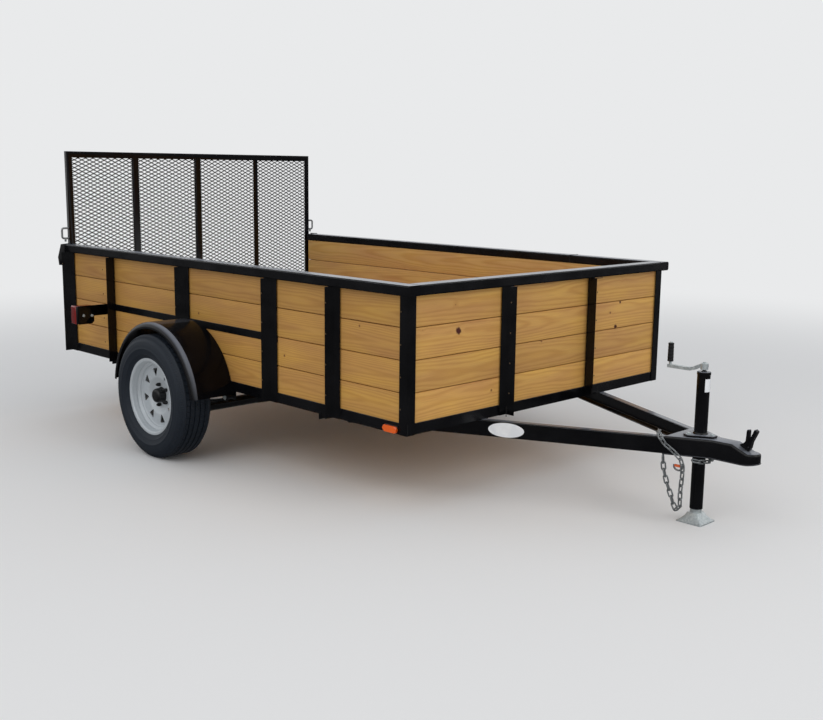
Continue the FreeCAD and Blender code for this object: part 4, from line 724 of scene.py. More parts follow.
# Half of the tyre's outer profile: radius and distance from the middle plane, mm
TYRE_PROFILE = (
    (191, 62), (192, 76), (205, 80), (214, 84), (222, 90.5), (226, 93), (228, 95.4), (230, 95.2), (232, 95.8),
    (240, 99), (252, 101.6), (254, 103), (257, 103.1), (259, 102), (268, 102.3), (280, 101), (290, 98),
    (294, 97.6), (296, 96), (303, 92.5), (311, 87), (317, 81.5), (321, 78), (326, 74), (328, 68),
)
# The tyre's inner wall, from one bead to the other, the same way
TYRE_INNER = ((200, -60), (250, -90), (300, -80), (318, 0), (300, 80), (250, 90), (200, 60))
# The crown under the tread: distance off the tyre's radius and from the middle plane, mm
TYRE_CROWN = ((-8, 55), (-7, 0), (-8, -55))
TREAD_PITCHES = 62
TREAD_DEPTH = 8 * MM
TREAD_FOOT = TYRE_RADIUS - 8.2 * MM
# Ribs of the tread: from and to across the tyre, slant of the sipes and their width, mm
TREAD_RIBS = ((-78, -47, 0, 3.4), (-41, -18, 4, 1.2), (-12, 12, -4, 1.2), (18, 41, 4, 1.2), (47, 78, 0, 3.4))
# Where the tread's shoulders start to drop, and how steeply
SHOULDER_START = 60 * MM
SHOULDER_DROP = 0.30
# Fine ribs across the shoulders: how many round the tyre, then each point's radius, place across and rise, mm
SHOULDER_RIBS = 150
SHOULDER_LINE = ((303, 92.5, 1.2), (311, 87, 3.2), (317, 81.5, 3.2), (322, 77.2, 1.2))
SHOULDER_RIB_HALF = 2.8 * MM
# The way that a rib rises, out from the axle and across, and its top's width as a share of its foot's
RIB_RISE = (0.68, 0.73)
RIB_TOP = 0.7


def tread_lugs():
    """One pitch of the tread, lying flat: shoulder blocks, ribs cut by slanted sipes."""
    bm = bmesh.new()
    pitch = 2 * math.pi * TYRE_RADIUS / TREAD_PITCHES
    for inner, outer, slant, gap in TREAD_RIBS:
        reach = pitch / 2 - gap * MM / 2
        for vert in block(bm, (-reach, inner * MM, 0), (reach, outer * MM, TREAD_DEPTH), 0.9 * MM, 1):
            vert.co.x += slant * MM * (1 if vert.co.y > (inner + outer) / 2 * MM else -1)
            vert.co.z -= max(0.0, abs(vert.co.y) - SHOULDER_START) * SHOULDER_DROP
    return mesh_of(bm, "tread_pitch", 30)


def tread_tree():
    """Sets the carrier mesh, one pitch of tread, round the tyre."""
    tree, given = geometry_tree("tyre_tread", (("Middle", "Vector"), ("Radius", "Float")))
    ring = put(tree, "GeometryNodeMeshLine", {"Count": TREAD_PITCHES, "Offset": (0.0, 0.0, 0.0)})
    index = put(tree, "GeometryNodeInputIndex")
    angle = put(tree, "ShaderNodeMath", {0: index, 1: 2 * math.pi / TREAD_PITCHES}, operation="MULTIPLY")
    turn = put(tree, "ShaderNodeCombineXYZ", {"Y": angle})
    rise = put(tree, "ShaderNodeCombineXYZ", {"Z": given["Radius"]})
    raised = put(tree, "GeometryNodeTransform", {0: given["Geometry"], "Translation": rise})
    round_tyre = put(tree, "GeometryNodeInstanceOnPoints", {
        "Points": ring, "Instance": raised, "Rotation": turn})
    placed = put(tree, "GeometryNodeTransform", {0: round_tyre, "Translation": given["Middle"]})
    return close_tree(tree, placed, RUBBER)


TREAD = tread_tree()


def shoulder_ribs(centre):
    """Fine ribs moulded across both shoulders of a tyre."""
    bm = bmesh.new()
    for k in range(SHOULDER_RIBS):
        turn = 2 * math.pi * k / SHOULDER_RIBS
        ahead = Vector((math.cos(turn), 0, math.sin(turn)))
        along = Vector((-math.sin(turn), 0, math.cos(turn))) * SHOULDER_RIB_HALF
        for way in WAYS:
            sections = []
            for radius, across, rise in SHOULDER_LINE:
                foot = centre + ahead * (radius - 1) * MM + Vector((0, way * (across - 1) * MM, 0))
                top = foot + (ahead * RIB_RISE[0] + Vector((0, way * RIB_RISE[1], 0))) * rise * MM
                sections.append([bm.verts.new(point) for point in (
                    foot - along, top - along * RIB_TOP, top + along * RIB_TOP, foot + along)])
            for one, two in zip(sections, sections[1:]):
                band(bm, one, two)
            bm.faces.new(sections[0])
            bm.faces.new(sections[-1])
    bmesh.ops.recalc_face_normals(bm, faces=bm.faces)
    return bm


def tyre(side, sign):
    """Radial trailer tyre: smooth sidewalls with moulded rings, and a ribbed tread with cut shoulders."""
    half = scaled(TYRE_PROFILE)
    crown = shifted(TYRE_CROWN, TYRE_RADIUS, 0)
    profile = half + crown + [(r, -y) for r, y in reversed(half)] + scaled(TYRE_INNER)
    centre = wheel_centre(sign)
    body = f"wheel_{side}"
    bm = bmesh.new()
    lathe(bm, profile + profile[:1], centre, steps=120)
    made_of(bm, f"tyre_carcass_{side}", 50, RUBBER, body, "tyre", f"tyre_{side}")
    tread = grown(f"tyre_tread_{side}", TREAD, {"Middle": centre, "Radius": TREAD_FOOT}, tread_lugs())
    piece(f"tyre_tread_{side}", tread, RUBBER, body, "tyre")
    ribs = mesh_of(shoulder_ribs(centre), f"tyre_shoulder_ribs_{side}", 30)
    piece(f"tyre_shoulder_ribs_{side}", ribs, RUBBER, body, "tyre")


# Rim barrel, half of its section from the middle outward: radius and distance from the rim's middle, mm
RIM_HALF = (
    (166, 25), (171, 29), (184, 37), (189, 40), (190, 62), (191, 72), (194, 75), (200, 76.4), (204.2, 77.4),
    (205, 79), (203.6, 80.8), (199, 81), (193, 80.4), (188, 78), (185.4, 73), (184.6, 64), (183.0, 60),
    (181.4, 57), (181.0, 47), (178.0, 44), (170, 40), (167.4, 37), (166.6, 31), (161, 27),
)
# Disc, from its centre hole outward: radius and reach past the mounting face, mm
DISC_FACE = ((42, 5), (43, 6.6), (74, 6.8), (79, 8.4), (92, 21), (98, 25.4), (104, 27), (124, 27.4),
             (144, 26.4), (152, 26.2), (158, 26.6), (163.5, 26.8))
DISC_THICK = 5 * MM
# Windows of the disc, three-cornered: how many, turn of the first, half of the outer side, radii of that side
# and of the inner corner, rounding
WINDOWS = 8
WINDOW_TURN = math.radians(12)
WINDOW_HALF = 26 * MM
WINDOW_OUTER = 147 * MM
WINDOW_INNER = 95 * MM
WINDOW_ROUND = 7.5 * MM
# What cuts a window reaches from inside the disc to past it, mm. The lip's roll: its radius, how far it lies
# outside the window, and how far it is sunk into the disc
WINDOW_CUT = (-20, 60)
LIP_RADIUS = 1.7 * MM
LIP_OUTSIDE = 0.6 * MM
LIP_SUNK = 0.9 * MM


def window_plan(grow=0.0):
    """Rounded three-cornered window as (across, out) points from the axle."""
    half, outer = WINDOW_HALF + grow, WINDOW_OUTER + grow
    corners = ((-half, outer), (half, outer), (0.0, WINDOW_INNER - 2 * grow))
    return round_corners(corners, WINDOW_ROUND + grow, 5)


def disc_reach(radius):
    """The disc's front at a radius, by straight runs between its section's points."""
    for (r0, y0), (r1, y1) in zip(DISC_FACE, DISC_FACE[1:]):
        if r0 * MM <= radius <= r1 * MM:
            return (y0 + (y1 - y0) * (radius - r0 * MM) / ((r1 - r0) * MM)) * MM
    return DISC_FACE[-1][1] * MM


def rim_barrel(side, sign):
    """Rolled barrel of the wheel, with painted shade on its inboard side."""
    centre = wheel_centre(sign)
    half = scaled(RIM_HALF, sign)
    section = half + [(r, -y) for r, y in reversed(half)]
    bm = bmesh.new()
    lathe(bm, section + section[:1], centre, steps=96)
    tidy(bm)
    barrel = mesh_of(bm, f"rim_barrel_{side}", 40)
    for finish in (SILVER, PAINTED_RIM_SHADE):
        barrel.materials.append(finish)
    # Faces on the barrel's inboard half take the painted shade
    for face in barrel.polygons:
        inboard = sign * face.center.y
        face.material_index = int(inboard < sign * centre.y and inboard < 0.99 * WHEEL_MIDDLE)
    piece(f"rim_barrel_{side}", barrel, SILVER, f"wheel_{side}", "silver_paint", f"rim_{side}")


def rim_disc(side, sign):
    """Dished disc of the wheel, with eight rounded windows and their rolled lips."""
    centre = wheel_centre(sign)
    face = scaled(DISC_FACE)
    section = face + [(r, y - DISC_THICK) for r, y in reversed(face)] + face[:1]
    bm = bmesh.new()
    lathe(bm, [(r, sign * y) for r, y in section], centre, steps=96)
    tidy(bm)
    disc = mesh_of(bm, f"rim_disc_{side}", 40)
    cutters = bmesh.new()
    lips = bmesh.new()
    for i in range(WINDOWS):
        turn = WINDOW_TURN + 2 * math.pi * i / WINDOWS
        across, up = Vector((-math.sin(turn), 0, math.cos(turn))), Vector((math.cos(turn), 0, math.sin(turn)))
        prism(cutters, *([centre + u * across + v * up + Vector((0, sign * depth * MM, 0))
                          for u, v in window_plan()] for depth in WINDOW_CUT))
        lip = [centre + u * across + v * up
               + Vector((0, sign * (disc_reach(math.hypot(u, v)) - LIP_SUNK), 0))
               for u, v in window_plan(LIP_OUTSIDE)]
        swept(lips, lip, LIP_RADIUS, 8, closed=True)
    bmesh.ops.recalc_face_normals(cutters, faces=cutters.faces)
    piece(f"rim_disc_{side}", carved(disc, mesh_of(cutters, "window_cutters")), SILVER, f"wheel_{side}",
          "silver_paint")
    made_of(lips, f"window_lips_{side}", 60, SILVER, f"wheel_{side}", "silver_paint")


# Wheel nuts: how many, and radius of their circle
NUTS = 5
NUT_CIRCLE = 57.15 * MM
# Hub, from inboard to the cap's end: radius and reach past the mounting face, mm
HUB_SECTION = (
    (0, -62), (34, -62), (36, -60), (36, -22), (40, -10), (69.5, -10), (71, -8.5), (71, -0.4), (40, -0.4),
    (41.5, 9), (40.6, 11), (38.8, 12), (38.4, 13), (38, 38), (37.2, 42), (35, 46), (31, 49.4), (26, 51),
    (20, 51.6), (0, 51.6),
)
# Cone seat and hexagon of a nut and the stud's end, the same way
NUT_SEAT = ((0, 5), (9.6, 5.2), (10.4, 8))
NUT_HEXAGON = ((10.4, 8), (10.4, 21), (8.8, 24), (6.6, 24.6), (6.3, 24.6))
STUD_END = ((6.35, 24), (6.35, 28.6), (5.2, 29.8), (0, 29.8))


def hub(side, sign):
    """Cast hub with its pressed cap, five studs and cone-seat nuts."""
    centre = wheel_centre(sign)
    bm = bmesh.new()
    lathe(bm, scaled(HUB_SECTION, sign), centre)
    for i in range(NUTS):
        turn = math.pi + 2 * math.pi * i / NUTS
        seat = centre + NUT_CIRCLE * Vector((math.cos(turn), 0, math.sin(turn)))
        for section, steps in ((NUT_SEAT, 6), (NUT_HEXAGON, 6), (STUD_END, 16)):
            lathe(bm, scaled(section, sign), seat, steps=steps)
    tidy(bm, 2e-6)
    piece(f"hub_{side}_cast", mesh_of(bm, f"hub_{side}_cast", 30), HUB_BLACK, f"wheel_{side}", "black_hub",
          f"hub_{side}")


# Fender: its outer radius, its sheet, the radius of the roll over its edge, and how far the lip hangs down
FENDER_RADIUS = 400 * MM
FENDER_WALL = 3 * MM
FENDER_ROLL = 26 * MM
FENDER_LIP = 34 * MM


def fender(side, sign):
    """Half-round fender: one sheet rolled over into its outer lip, the lip's edge folded back."""
    low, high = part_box(f"fender_{side}")
    outer = max(abs(low.y), abs(high.y))
    roll_radius, roll_middle = FENDER_RADIUS - FENDER_ROLL, outer - FENDER_ROLL
    lip_radius = FENDER_RADIUS - FENDER_LIP
    arc = [math.radians(90 * k / 8) for k in range(9)]

    def roll(radius, angles):
        """The sheet's outer or inner face round the roll."""
        return [(roll_radius + radius * math.cos(a), roll_middle + radius * math.sin(a)) for a in angles]

    section = [(FENDER_RADIUS, RAIL_FACE), *roll(FENDER_ROLL, arc), (lip_radius, outer),
               (lip_radius - 0.8 * MM, outer - FENDER_WALL / 2), (lip_radius, outer - FENDER_WALL),
               *roll(FENDER_ROLL - FENDER_WALL, reversed(arc)), (FENDER_RADIUS - FENDER_WALL, RAIL_FACE)]
    points = [(r, sign * y) for r, y in section]
    bm = bmesh.new()
    lathe(bm, points + points[:1], (AXLE_X, 0, high.z - FENDER_RADIUS), steps=120)
    tidy(bm)
    everything = bm.verts[:] + bm.edges[:] + bm.faces[:]
    cut = bmesh.ops.bisect_plane(bm, geom=everything, dist=1e-6, plane_co=(0, 0, low.z), plane_no=(0, 0, -1),
                                 clear_outer=True)["geom_cut"]
    bmesh.ops.holes_fill(bm, edges=[e for e in cut if isinstance(e, bmesh.types.BMEdge)], sides=0)
    bmesh.ops.recalc_face_normals(bm, faces=bm.faces)
    rolled = mesh_of(bm, f"fender_{side}_rolled", 40)
    for finish in (FENDER_ENAMEL, LIP_ENAMEL):
        rolled.materials.append(finish)
    # Faces on the roll and lip take the enamel whose pale film is partly dust and partly a painted sky
    # highlight
    for face in rolled.polygons:
        face.material_index = int(abs(face.center.y) > outer - 0.96 * FENDER_ROLL)
    piece(f"fender_{side}_rolled", rolled, FENDER_ENAMEL, "frame", "black_paint", f"fender_{side}")


# Coupler: how far its skirt stands past the channels and follows them, where its neck starts ahead of the
# front face, length of the slope down to the nose, where the nose and the rise of its foot start behind the
# ball, and that rise
SKIRT_PAST = 5.5 * MM
SKIRT_LENGTH = 60 * MM
NECK_AHEAD = 932 * MM
NOSE_SLOPE = 70 * MM
NOSE_START = 24 * MM
NOSE_FOOT_START = 10 * MM
NOSE_FOOT_RISE = 8 * MM
# The pressing's wall and rounded crown, and the bead along its lower edge: radius and height
COUPLER_WALL = 5 * MM
COUPLER_CROWN = 10 * MM
BEAD_RADIUS = 2.4 * MM
BEAD_RISE = 1.6 * MM
# Ball socket under the nose: radius and height, mm
SOCKET_RADIUS = 25.8
SOCKET_CUP = ((25.8, 9), (27, 8), (36, 8), (37.5, 9.5), (37.5, 30), (25.8, 30), (25.8, 9))
SOCKET_DOME_FOOT = 22


def coupler():
    """Pressed coupler: a wide skirt over the channels that narrows to the domed nose of the ball socket."""
    low, high = COUPLER_LOW, COUPLER_HIGH
    rear = low.x - FRONT_FACE
    ball = BALL_X - FRONT_FACE
    slope_start = ball - NOSE_SLOPE
    skirt = [(x, max(tongue_line(x) + SKIRT_PAST, NOSE_RADIUS)) for x in (rear, rear + SKIRT_LENGTH)]
    neck = [(NECK_AHEAD, NOSE_RADIUS + 1 * MM), (slope_start, NOSE_RADIUS), (ball - NOSE_START, NOSE_RADIUS)]
    nose = [(ball + NOSE_RADIUS * math.sin(a), NOSE_RADIUS * math.cos(a))
            for a in (math.radians(t) for t in range(0, 90, 15))]
    right = skirt + neck + nose
    plan = [(x, -y) for x, y in right] + [(ball + NOSE_RADIUS, 0.0)] + [(x, y) for x, y in reversed(right)]

    def top_at(ahead):
        """Height of the pressing's top, which slopes down to the nose."""
        t = min(1.0, max(0.0, (ahead - slope_start) / NOSE_SLOPE))
        return high.z + (NOSE_TOP - high.z) * (0.5 * t + 0.5 * t * t * (3 - 2 * t))

    def foot_at(ahead):
        """Height of the pressing's lower edge, which rises under the nose."""
        t = min(1.0, max(0.0, (ahead - ball + NOSE_FOOT_START) / (NOSE_RADIUS + NOSE_FOOT_START)))
        return low.z + NOSE_FOOT_RISE * t

    bm = bmesh.new()
    lower, upper = ([bm.verts.new((FRONT_FACE + x, y, level(x))) for x, y in plan]
                    for level in (foot_at, top_at))
    band(bm, lower, upper)
    count = len(plan)
    crown = []
    for i in range(count // 2):
        k = count - 1 - i
        crown.append(bm.faces.new(tuple(dict.fromkeys((upper[i], upper[i + 1], upper[k - 1], upper[k])))))
        bm.faces.new(tuple(dict.fromkeys((lower[k], lower[k - 1], lower[i + 1], lower[i]))))
    bmesh.ops.recalc_face_normals(bm, faces=bm.faces)
    crown_edges = [e for e in bm.edges if len(set(e.link_faces) & set(crown)) == 1]
    ease(bm, crown_edges, COUPLER_CROWN, 4, profile=0.55)
    under = [f for f in bm.faces if f.normal.z < -0.9 and f.calc_center_median().z < low.z + 24 * MM]
    bmesh.ops.inset_region(bm, faces=under, thickness=4.5 * MM, use_even_offset=True)
    for vert in {v for f in under for v in f.verts}:
        vert.co.z = top_at(vert.co.x - FRONT_FACE) - COUPLER_WALL
    bmesh.ops.triangulate(bm, faces=[f for f in bm.faces if len(f.verts) > 4])
    piece("coupler_pressing", mesh_of(bm, "coupler_pressing", 35), ENAMEL, "frame", "black_paint", "coupler")

    bm = bmesh.new()
    swept(bm, [Vector((FRONT_FACE + x, y, foot_at(x) + BEAD_RISE)) for x, y in plan], BEAD_RADIUS, 8)
    dome = [(SOCKET_RADIUS * math.cos(a), SOCKET_DOME_FOOT + SOCKET_RADIUS * math.sin(a))
            for a in (math.radians(t) for t in range(0, 91, 15))]
    for section in (SOCKET_CUP, dome):
        lathe(bm, scaled(section), (BALL_X, 0, low.z), "Z", 48)
    made_of(bm, "coupler_lip_and_socket", 40, ENAMEL, "frame", "black_paint")


# Washer and hexagon of a bolt's head, as shares of the hexagon's radius and the head's height
WASHER_SECTION = ((0, 0), (1.35, 0), (1.35, 0.22), (0.98, 0.22), (0, 0.22))
HEXAGON_SECTION = ((0, 0.2), (1, 0.2), (1, 0.85), (0.84, 1), (0, 1))


def bolt_head(bm, seat, out, radius, height):
    """Adds a hexagon head on a washer, standing out from a seat."""
    turn = UP.rotation_difference(out).to_matrix()
    for section, steps in ((WASHER_SECTION, 20), (HEXAGON_SECTION, 6)):
        for vert in lathe(bm, [(radius * r, height * h) for r, h in section], (0, 0, 0), "Z", steps):
            vert.co = turn @ vert.co + Vector(seat)


# Coupler's latch, side outlines of its two prongs: ahead of the ball's centre and above the nose, mm
LATCH_PRONGS = (
    ((-48, 30), (-34, 36), (-24, 46), (-21, 94), (-18, 98), (-12, 98), (-9, 94), (-10, 40), (-22, 12),
     (-50, 24)),
    ((-24, 12), (-12, 30), (-4, 58), (13, 100), (16, 104), (26, 97), (27, 93), (6, 46), (1, 20), (-6, 4)),
)
LATCH_HALVES = (9 * MM, 11 * MM)


def coupler_latch():
    """Latch standing open: a trigger behind and a lever leaning forward, both folded from plate."""
    bm = bmesh.new()
    for outline, half in zip(LATCH_PRONGS, LATCH_HALVES):
        plan = round_corners(scaled(outline), 4 * MM, 3)
        ends = prism(bm, *([(BALL_X + u, y, NOSE_TOP + v) for u, v in plan] for y in (-half, half)))
        ease(bm, {e for f in ends for e in f.edges}, 1.6 * MM)
    for way in WAYS:
        pivot = Vector((BALL_X - 8 * MM, way * LATCH_HALVES[1], NOSE_TOP + 20 * MM))
        bolt_head(bm, pivot, Vector((0, way, 0)), 5 * MM, 3 * MM)
    bmesh.ops.recalc_face_normals(bm, faces=bm.faces)
    piece("coupler_latch_lever", mesh_of(bm, "coupler_latch_lever", 34), ENAMEL, "frame", "black_paint",
          "coupler_latch")


JACK_LOW, JACK_TOP = (corner.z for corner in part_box("jack_housing"))
# The housing's section at its foot, its cap and its welded collar: distance off the tube's radius, and
# height, mm. The stub on the cap: radius and height, mm
HOUSING_FOOT = ((-3, 3), (-2.4, 0), (-0.8, 0), (0, 1))
HOUSING_CAP = ((0, -14), (1.5, -13.4), (1.5, -3), (0, -0.8), (-3, 0))
HOUSING_STUB = ((12, 0), (11, 3), (8, 3.4), (8, 8), (0, 8))
HOUSING_COLLAR = ((5, 0), (3.6, 4), (0, 7))
STUB_HEIGHT = 8 * MM
# The jack's plate: underside and top, its three arms, reach and half spread of an arm, its bolts' circle
PLATE_LOW = COUPLER_HIGH.z
PLATE_TOP = PLATE_LOW + 9 * MM
PLATE_ARMS = (0, 120, 240)
PLATE_REACH = 76 * MM
PLATE_SPREAD = 14
PLATE_BOLTS = 57 * MM
# The crank's hub: height above the housing and radius
CRANK_HUB_HEIGHT = 28 * MM
CRANK_HUB_RADIUS = 17 * MM
# The crank's arm: points ahead of the jack's middle and above the hub's middle, mm
CRANK_ARM = ((14, 5), (-8, 4), (-26, -2), (-48, -14), (-64, -19), (-84, -20))
# The arm's bar: half width, half thickness and rounding
CRANK_BAR = (11 * MM, 7 * MM, 1.8 * MM)
# The grip: radius and height of its foot and of its end, its length and how much it narrows over it, mm
GRIP_FOOT = ((6.4, 0), (12.0, 0), (13.4, 1.2), (13.6, 4))
GRIP_END = ((12.8, 78), (13.2, 80), (12.2, 82.4), (6.4, 83), (6.4, 0))
GRIP_LENGTH = 80
GRIP_NARROWING = 1.1
# Its ridges: how many, height of the first, spacing, radius, and what every other one has more. The line of
# one ridge and its groove: distance off the ridge's radius and over its start, mm
GRIP_RIDGES = 9
RIDGES_START = 8
RIDGE_SPACING = 7.6
RIDGE_RADIUS = 13.4
RIDGE_EXTRA = 0.5
RIDGE_LINE = ((0, 0), (-0.9, 3.4), (0, 6))
# The grip's pin: radius, and height from the arm at its foot and from the grip's end at its top, mm
GRIP_PIN_FOOT = ((0, -24), (6, -24))
GRIP_PIN_TOP = ((6, 4), (4.6, 6), (0, 6))


def around_jack(radius, degrees, height):
    """A point about the jack's middle line."""
    turn = math.radians(degrees)
    return Vector((JACK_X + radius * math.cos(turn), radius * math.sin(turn), height))


def jack_tube():
    """Capped black tube with its welded collar and three-cornered plate."""
    bm = bmesh.new()
    cap = JACK_TOP - STUB_HEIGHT
    housing = shifted(HOUSING_FOOT, JACK_TUBE, JACK_LOW) + shifted(HOUSING_CAP, JACK_TUBE, cap)
    for section in (housing + shifted(HOUSING_STUB, 0, cap), shifted(HOUSING_COLLAR, JACK_TUBE, PLATE_TOP)):
        lathe(bm, section, JACK_LINE, "Z", 56)
    corners = [around_jack(PLATE_REACH, arm + way * PLATE_SPREAD, 0).to_2d()
               for arm in PLATE_ARMS for way in WAYS]
    slab(bm, round_corners(corners, 9 * MM, 4), PLATE_LOW + 0.2 * MM, PLATE_TOP, 1.2 * MM)
    made_of(bm, "jack_outer_tube", 32, ENAMEL, "frame", "black_paint", "jack_housing")


def jack_bolts():
    """Bolts of the plate's three arms, and the nut on the crank's hub."""
    bm = bmesh.new()
    for arm in PLATE_ARMS:
        bolt_head(bm, around_jack(PLATE_BOLTS, arm, PLATE_TOP), UP, 8.5 * MM, 7.5 * MM)
    bolt_head(bm, Vector((JACK_X, 0, JACK_TOP + CRANK_HUB_HEIGHT)), UP, 8 * MM, 5.5 * MM)
    made_of(bm, "jack_bolts", 30, ZINC, "frame", "zinc")


def jack_crank():
    """Zinc crank: hub, bent flat arm and the pin of the grip."""
    grip_x, grip_top = middle_of("jack_grip", 0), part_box("jack_grip")[1].z
    top, radius, edge = JACK_TOP + CRANK_HUB_HEIGHT, CRANK_HUB_RADIUS, 1.4 * MM
    arm_z = JACK_TOP + CRANK_HUB_HEIGHT / 2
    bm = bmesh.new()
    lathe(bm, [(0, JACK_TOP), (radius - edge, JACK_TOP), (radius, JACK_TOP + edge), (radius, top - edge),
               (radius - edge, top), (0, top)], JACK_LINE, "Z", 40)
    line = [(JACK_X + x * MM, arm_z + z * MM) for x, z in CRANK_ARM] + [(grip_x - 9 * MM, arm_z - 20 * MM)]
    flat_bar(bm, line, *CRANK_BAR)
    pin = shifted(GRIP_PIN_FOOT, 0, arm_z) + shifted(GRIP_PIN_TOP, 0, grip_top)
    lathe(bm, pin, (grip_x, 0, 0), "Z", 20)
    made_of(bm, "jack_crank_handle", 34, ZINC, "frame", "zinc", "jack_crank")


def jack_grip():
    """Dipped grip with ridges, a little narrower to its top."""
    section = list(GRIP_FOOT)
    for k in range(GRIP_RIDGES):
        start = RIDGES_START + k * RIDGE_SPACING
        ridge = RIDGE_RADIUS - GRIP_NARROWING * (start / GRIP_LENGTH) + (RIDGE_EXTRA if k % 2 else 0)
        section += [(ridge + off, start + over) for off, over in RIDGE_LINE]
    section += GRIP_END
    bm = bmesh.new()
    lathe(bm, scaled(section), (middle_of("jack_grip", 0), 0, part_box("jack_grip")[0].z), "Z", 40)
    made_of(bm, "jack_vinyl_grip", 50, VINYL, "frame", "black_grip", "jack_grip")


def flat_bar(bm, line, half_width, half_thick, width):
    """Adds a flat bar whose middle follows (x, z) points in the middle plane, with eased edges."""
    upper = []
    lower = []
    for i, (x, z) in enumerate(line):
        x0, z0 = line[max(0, i - 1)]
        x1, z1 = line[min(len(line) - 1, i + 1)]
        away = Vector((-(z1 - z0), x1 - x0)).normalized() * half_thick
        if away.y < 0:
            away = -away
        upper.append((x + away.x, z + away.y))
        lower.append((x - away.x, z - away.y))
    (near_up, near_low), (far_up, far_low) = (
        [[bm.verts.new((x, y, z)) for x, z in row] for row in (upper, lower)]
        for y in (-half_width, half_width))
    faces = band(bm, near_up, near_low, closed=False) + band(bm, far_low, far_up, closed=False)
    faces += band(bm, far_up + far_low[::-1], near_up + near_low[::-1])
    edges = {e for f in faces for e in f.edges if len(e.link_faces) == 2 and e.calc_face_angle() > 1.0}
    ease(bm, edges, width)


# The jack's leg: its radius and its bore's. The foot's plate: half side and thickness. The pyramid on it: its
# levels' half side and height, mm
LEG_RADIUS = 25.1 * MM
LEG_BORE = 22 * MM
FOOT_HALF = 62.5 * MM
FOOT_THICK = 5 * MM
FOOT_LEVELS = ((57, 5), (54, 7), (34, 29), (29, 40), (27, 43))


def jack_foot():
    """The jack's sliding leg, and its square foot plate with the pyramid that holds the leg."""
    low, high = (corner.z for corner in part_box("jack_inner_tube"))
    bm = bmesh.new()
    inside, chamfer = LEG_BORE + 0.1 * MM, LEG_RADIUS - 0.7 * MM
    lathe(bm, [(LEG_BORE, low + 2 * MM), (LEG_RADIUS, low), (LEG_RADIUS, high - 1 * MM), (chamfer, high),
               (inside, high), (inside, low + 2 * MM)], JACK_LINE, "Z", 48)
    made_of(bm, "jack_sliding_tube", 32, ZINC, "jack_leg", "zinc", "jack_inner_tube")
    bm = bmesh.new()
    slab(bm, rounded_box((JACK_X - FOOT_HALF, -FOOT_HALF), (JACK_X + FOOT_HALF, FOOT_HALF), 8 * MM, 4), 0.0,
         FOOT_THICK, 1.4 * MM)
    rings = []
    for half, height in scaled(FOOT_LEVELS):
        ring = rounded_box((-half, -half), (half, half), 5 * MM, 3)
        rings.append([bm.verts.new((JACK_X + x, y, height)) for x, y in ring])
    for one, two in zip(rings, rings[1:]):
        band(bm, one, two)
    bm.faces.new(rings[-1])
    bmesh.ops.recalc_face_normals(bm, faces=bm.faces)
    piece("jack_foot_pressing", mesh_of(bm, "jack_foot_pressing", 34), ZINC, "jack_leg", "zinc", "jack_foot")


# Chain links: wire's thickness and width of a link
LINK_WIRE = 7 * MM
LINK_WIDTH = 25 * MM
# Place of the hook and its orange latch, between the two hanging strands, and the hook's points about it, mm
HOOK_PLACE = Vector((FRONT_FACE + 812 * MM, -110 * MM, 266 * MM))
HOOK_BEND = ((24, 12), (26, 0), (22, -14), (8, -20), (-8, -18), (-17, -8), (-17, 3))
HOOK_LATCH_HALF = Vector((14, 4, 6)) * MM


def chain_link(reach):
    """One welded wire link, lying flat about its middle."""
    wire = LINK_WIRE / 2
    bend = LINK_WIDTH / 2 - wire
    straight = reach - LINK_WIDTH / 2
    line = [Vector((end * (straight + bend * math.cos(a)), end * bend * math.sin(a), 0))
            for end in (1, -1) for a in (math.radians(-90 + 180 * k / 7) for k in range(8))]
    bm = bmesh.new()
    swept(bm, line, wire, 8, closed=True)
    tidy(bm)
    return mesh_of(bm, "chain_link", 60)


def chains():
    """Safety chains of welded wire links, one for each link of the steel node, and a hook's orange latch."""
    places = []
    reach = 0
    for corners in loose_parts("safety_chains"):
        middle = corners.mean(axis=0)
        _, axes = numpy.linalg.eigh(numpy.cov((corners - middle).T))
        along, flat = Vector(axes[:, 2]), Vector(axes[:, 0])
        if along.z < 0:
            along = -along
        reach = max(reach, float(numpy.abs((corners - middle) @ axes[:, 2]).max()))
        turn = Matrix((along, flat.cross(along), flat)).transposed()
        places.append((middle, turn.to_euler()))
    mesh = scattered("chain_wire_links", chain_link(reach), places, CHAIN_ZINC)
    mesh.shade_smooth()
    piece("chain_wire_links", mesh, CHAIN_ZINC, "frame", "zinc", "safety_chains")
    bm = bmesh.new()
    hook = [HOOK_PLACE + Vector((x, 0, z)) * MM for x, z in HOOK_BEND]
    swept(bm, rounded_route(hook, 12 * MM, 4), 4.2 * MM, 12)
    made_of(bm, "chain_hook", 50, CHAIN_ZINC, "frame", "zinc")
    bm = bmesh.new()
    block(bm, HOOK_PLACE - HOOK_LATCH_HALF, HOOK_PLACE + HOOK_LATCH_HALF, 3 * MM, 3)
    made_of(bm, "chain_hook_latch", 38, ORANGE, "frame", "amber_lens")


# Tail lamps: depth of the base, how far it stays inside the lens, and its two studs across and up, mm
LAMP_BASE = 9 * MM
LAMP_INSET = Vector((0, 1.5, 1.5)) * MM
LAMP_STUDS = ((1139, 665), (1087, 662))


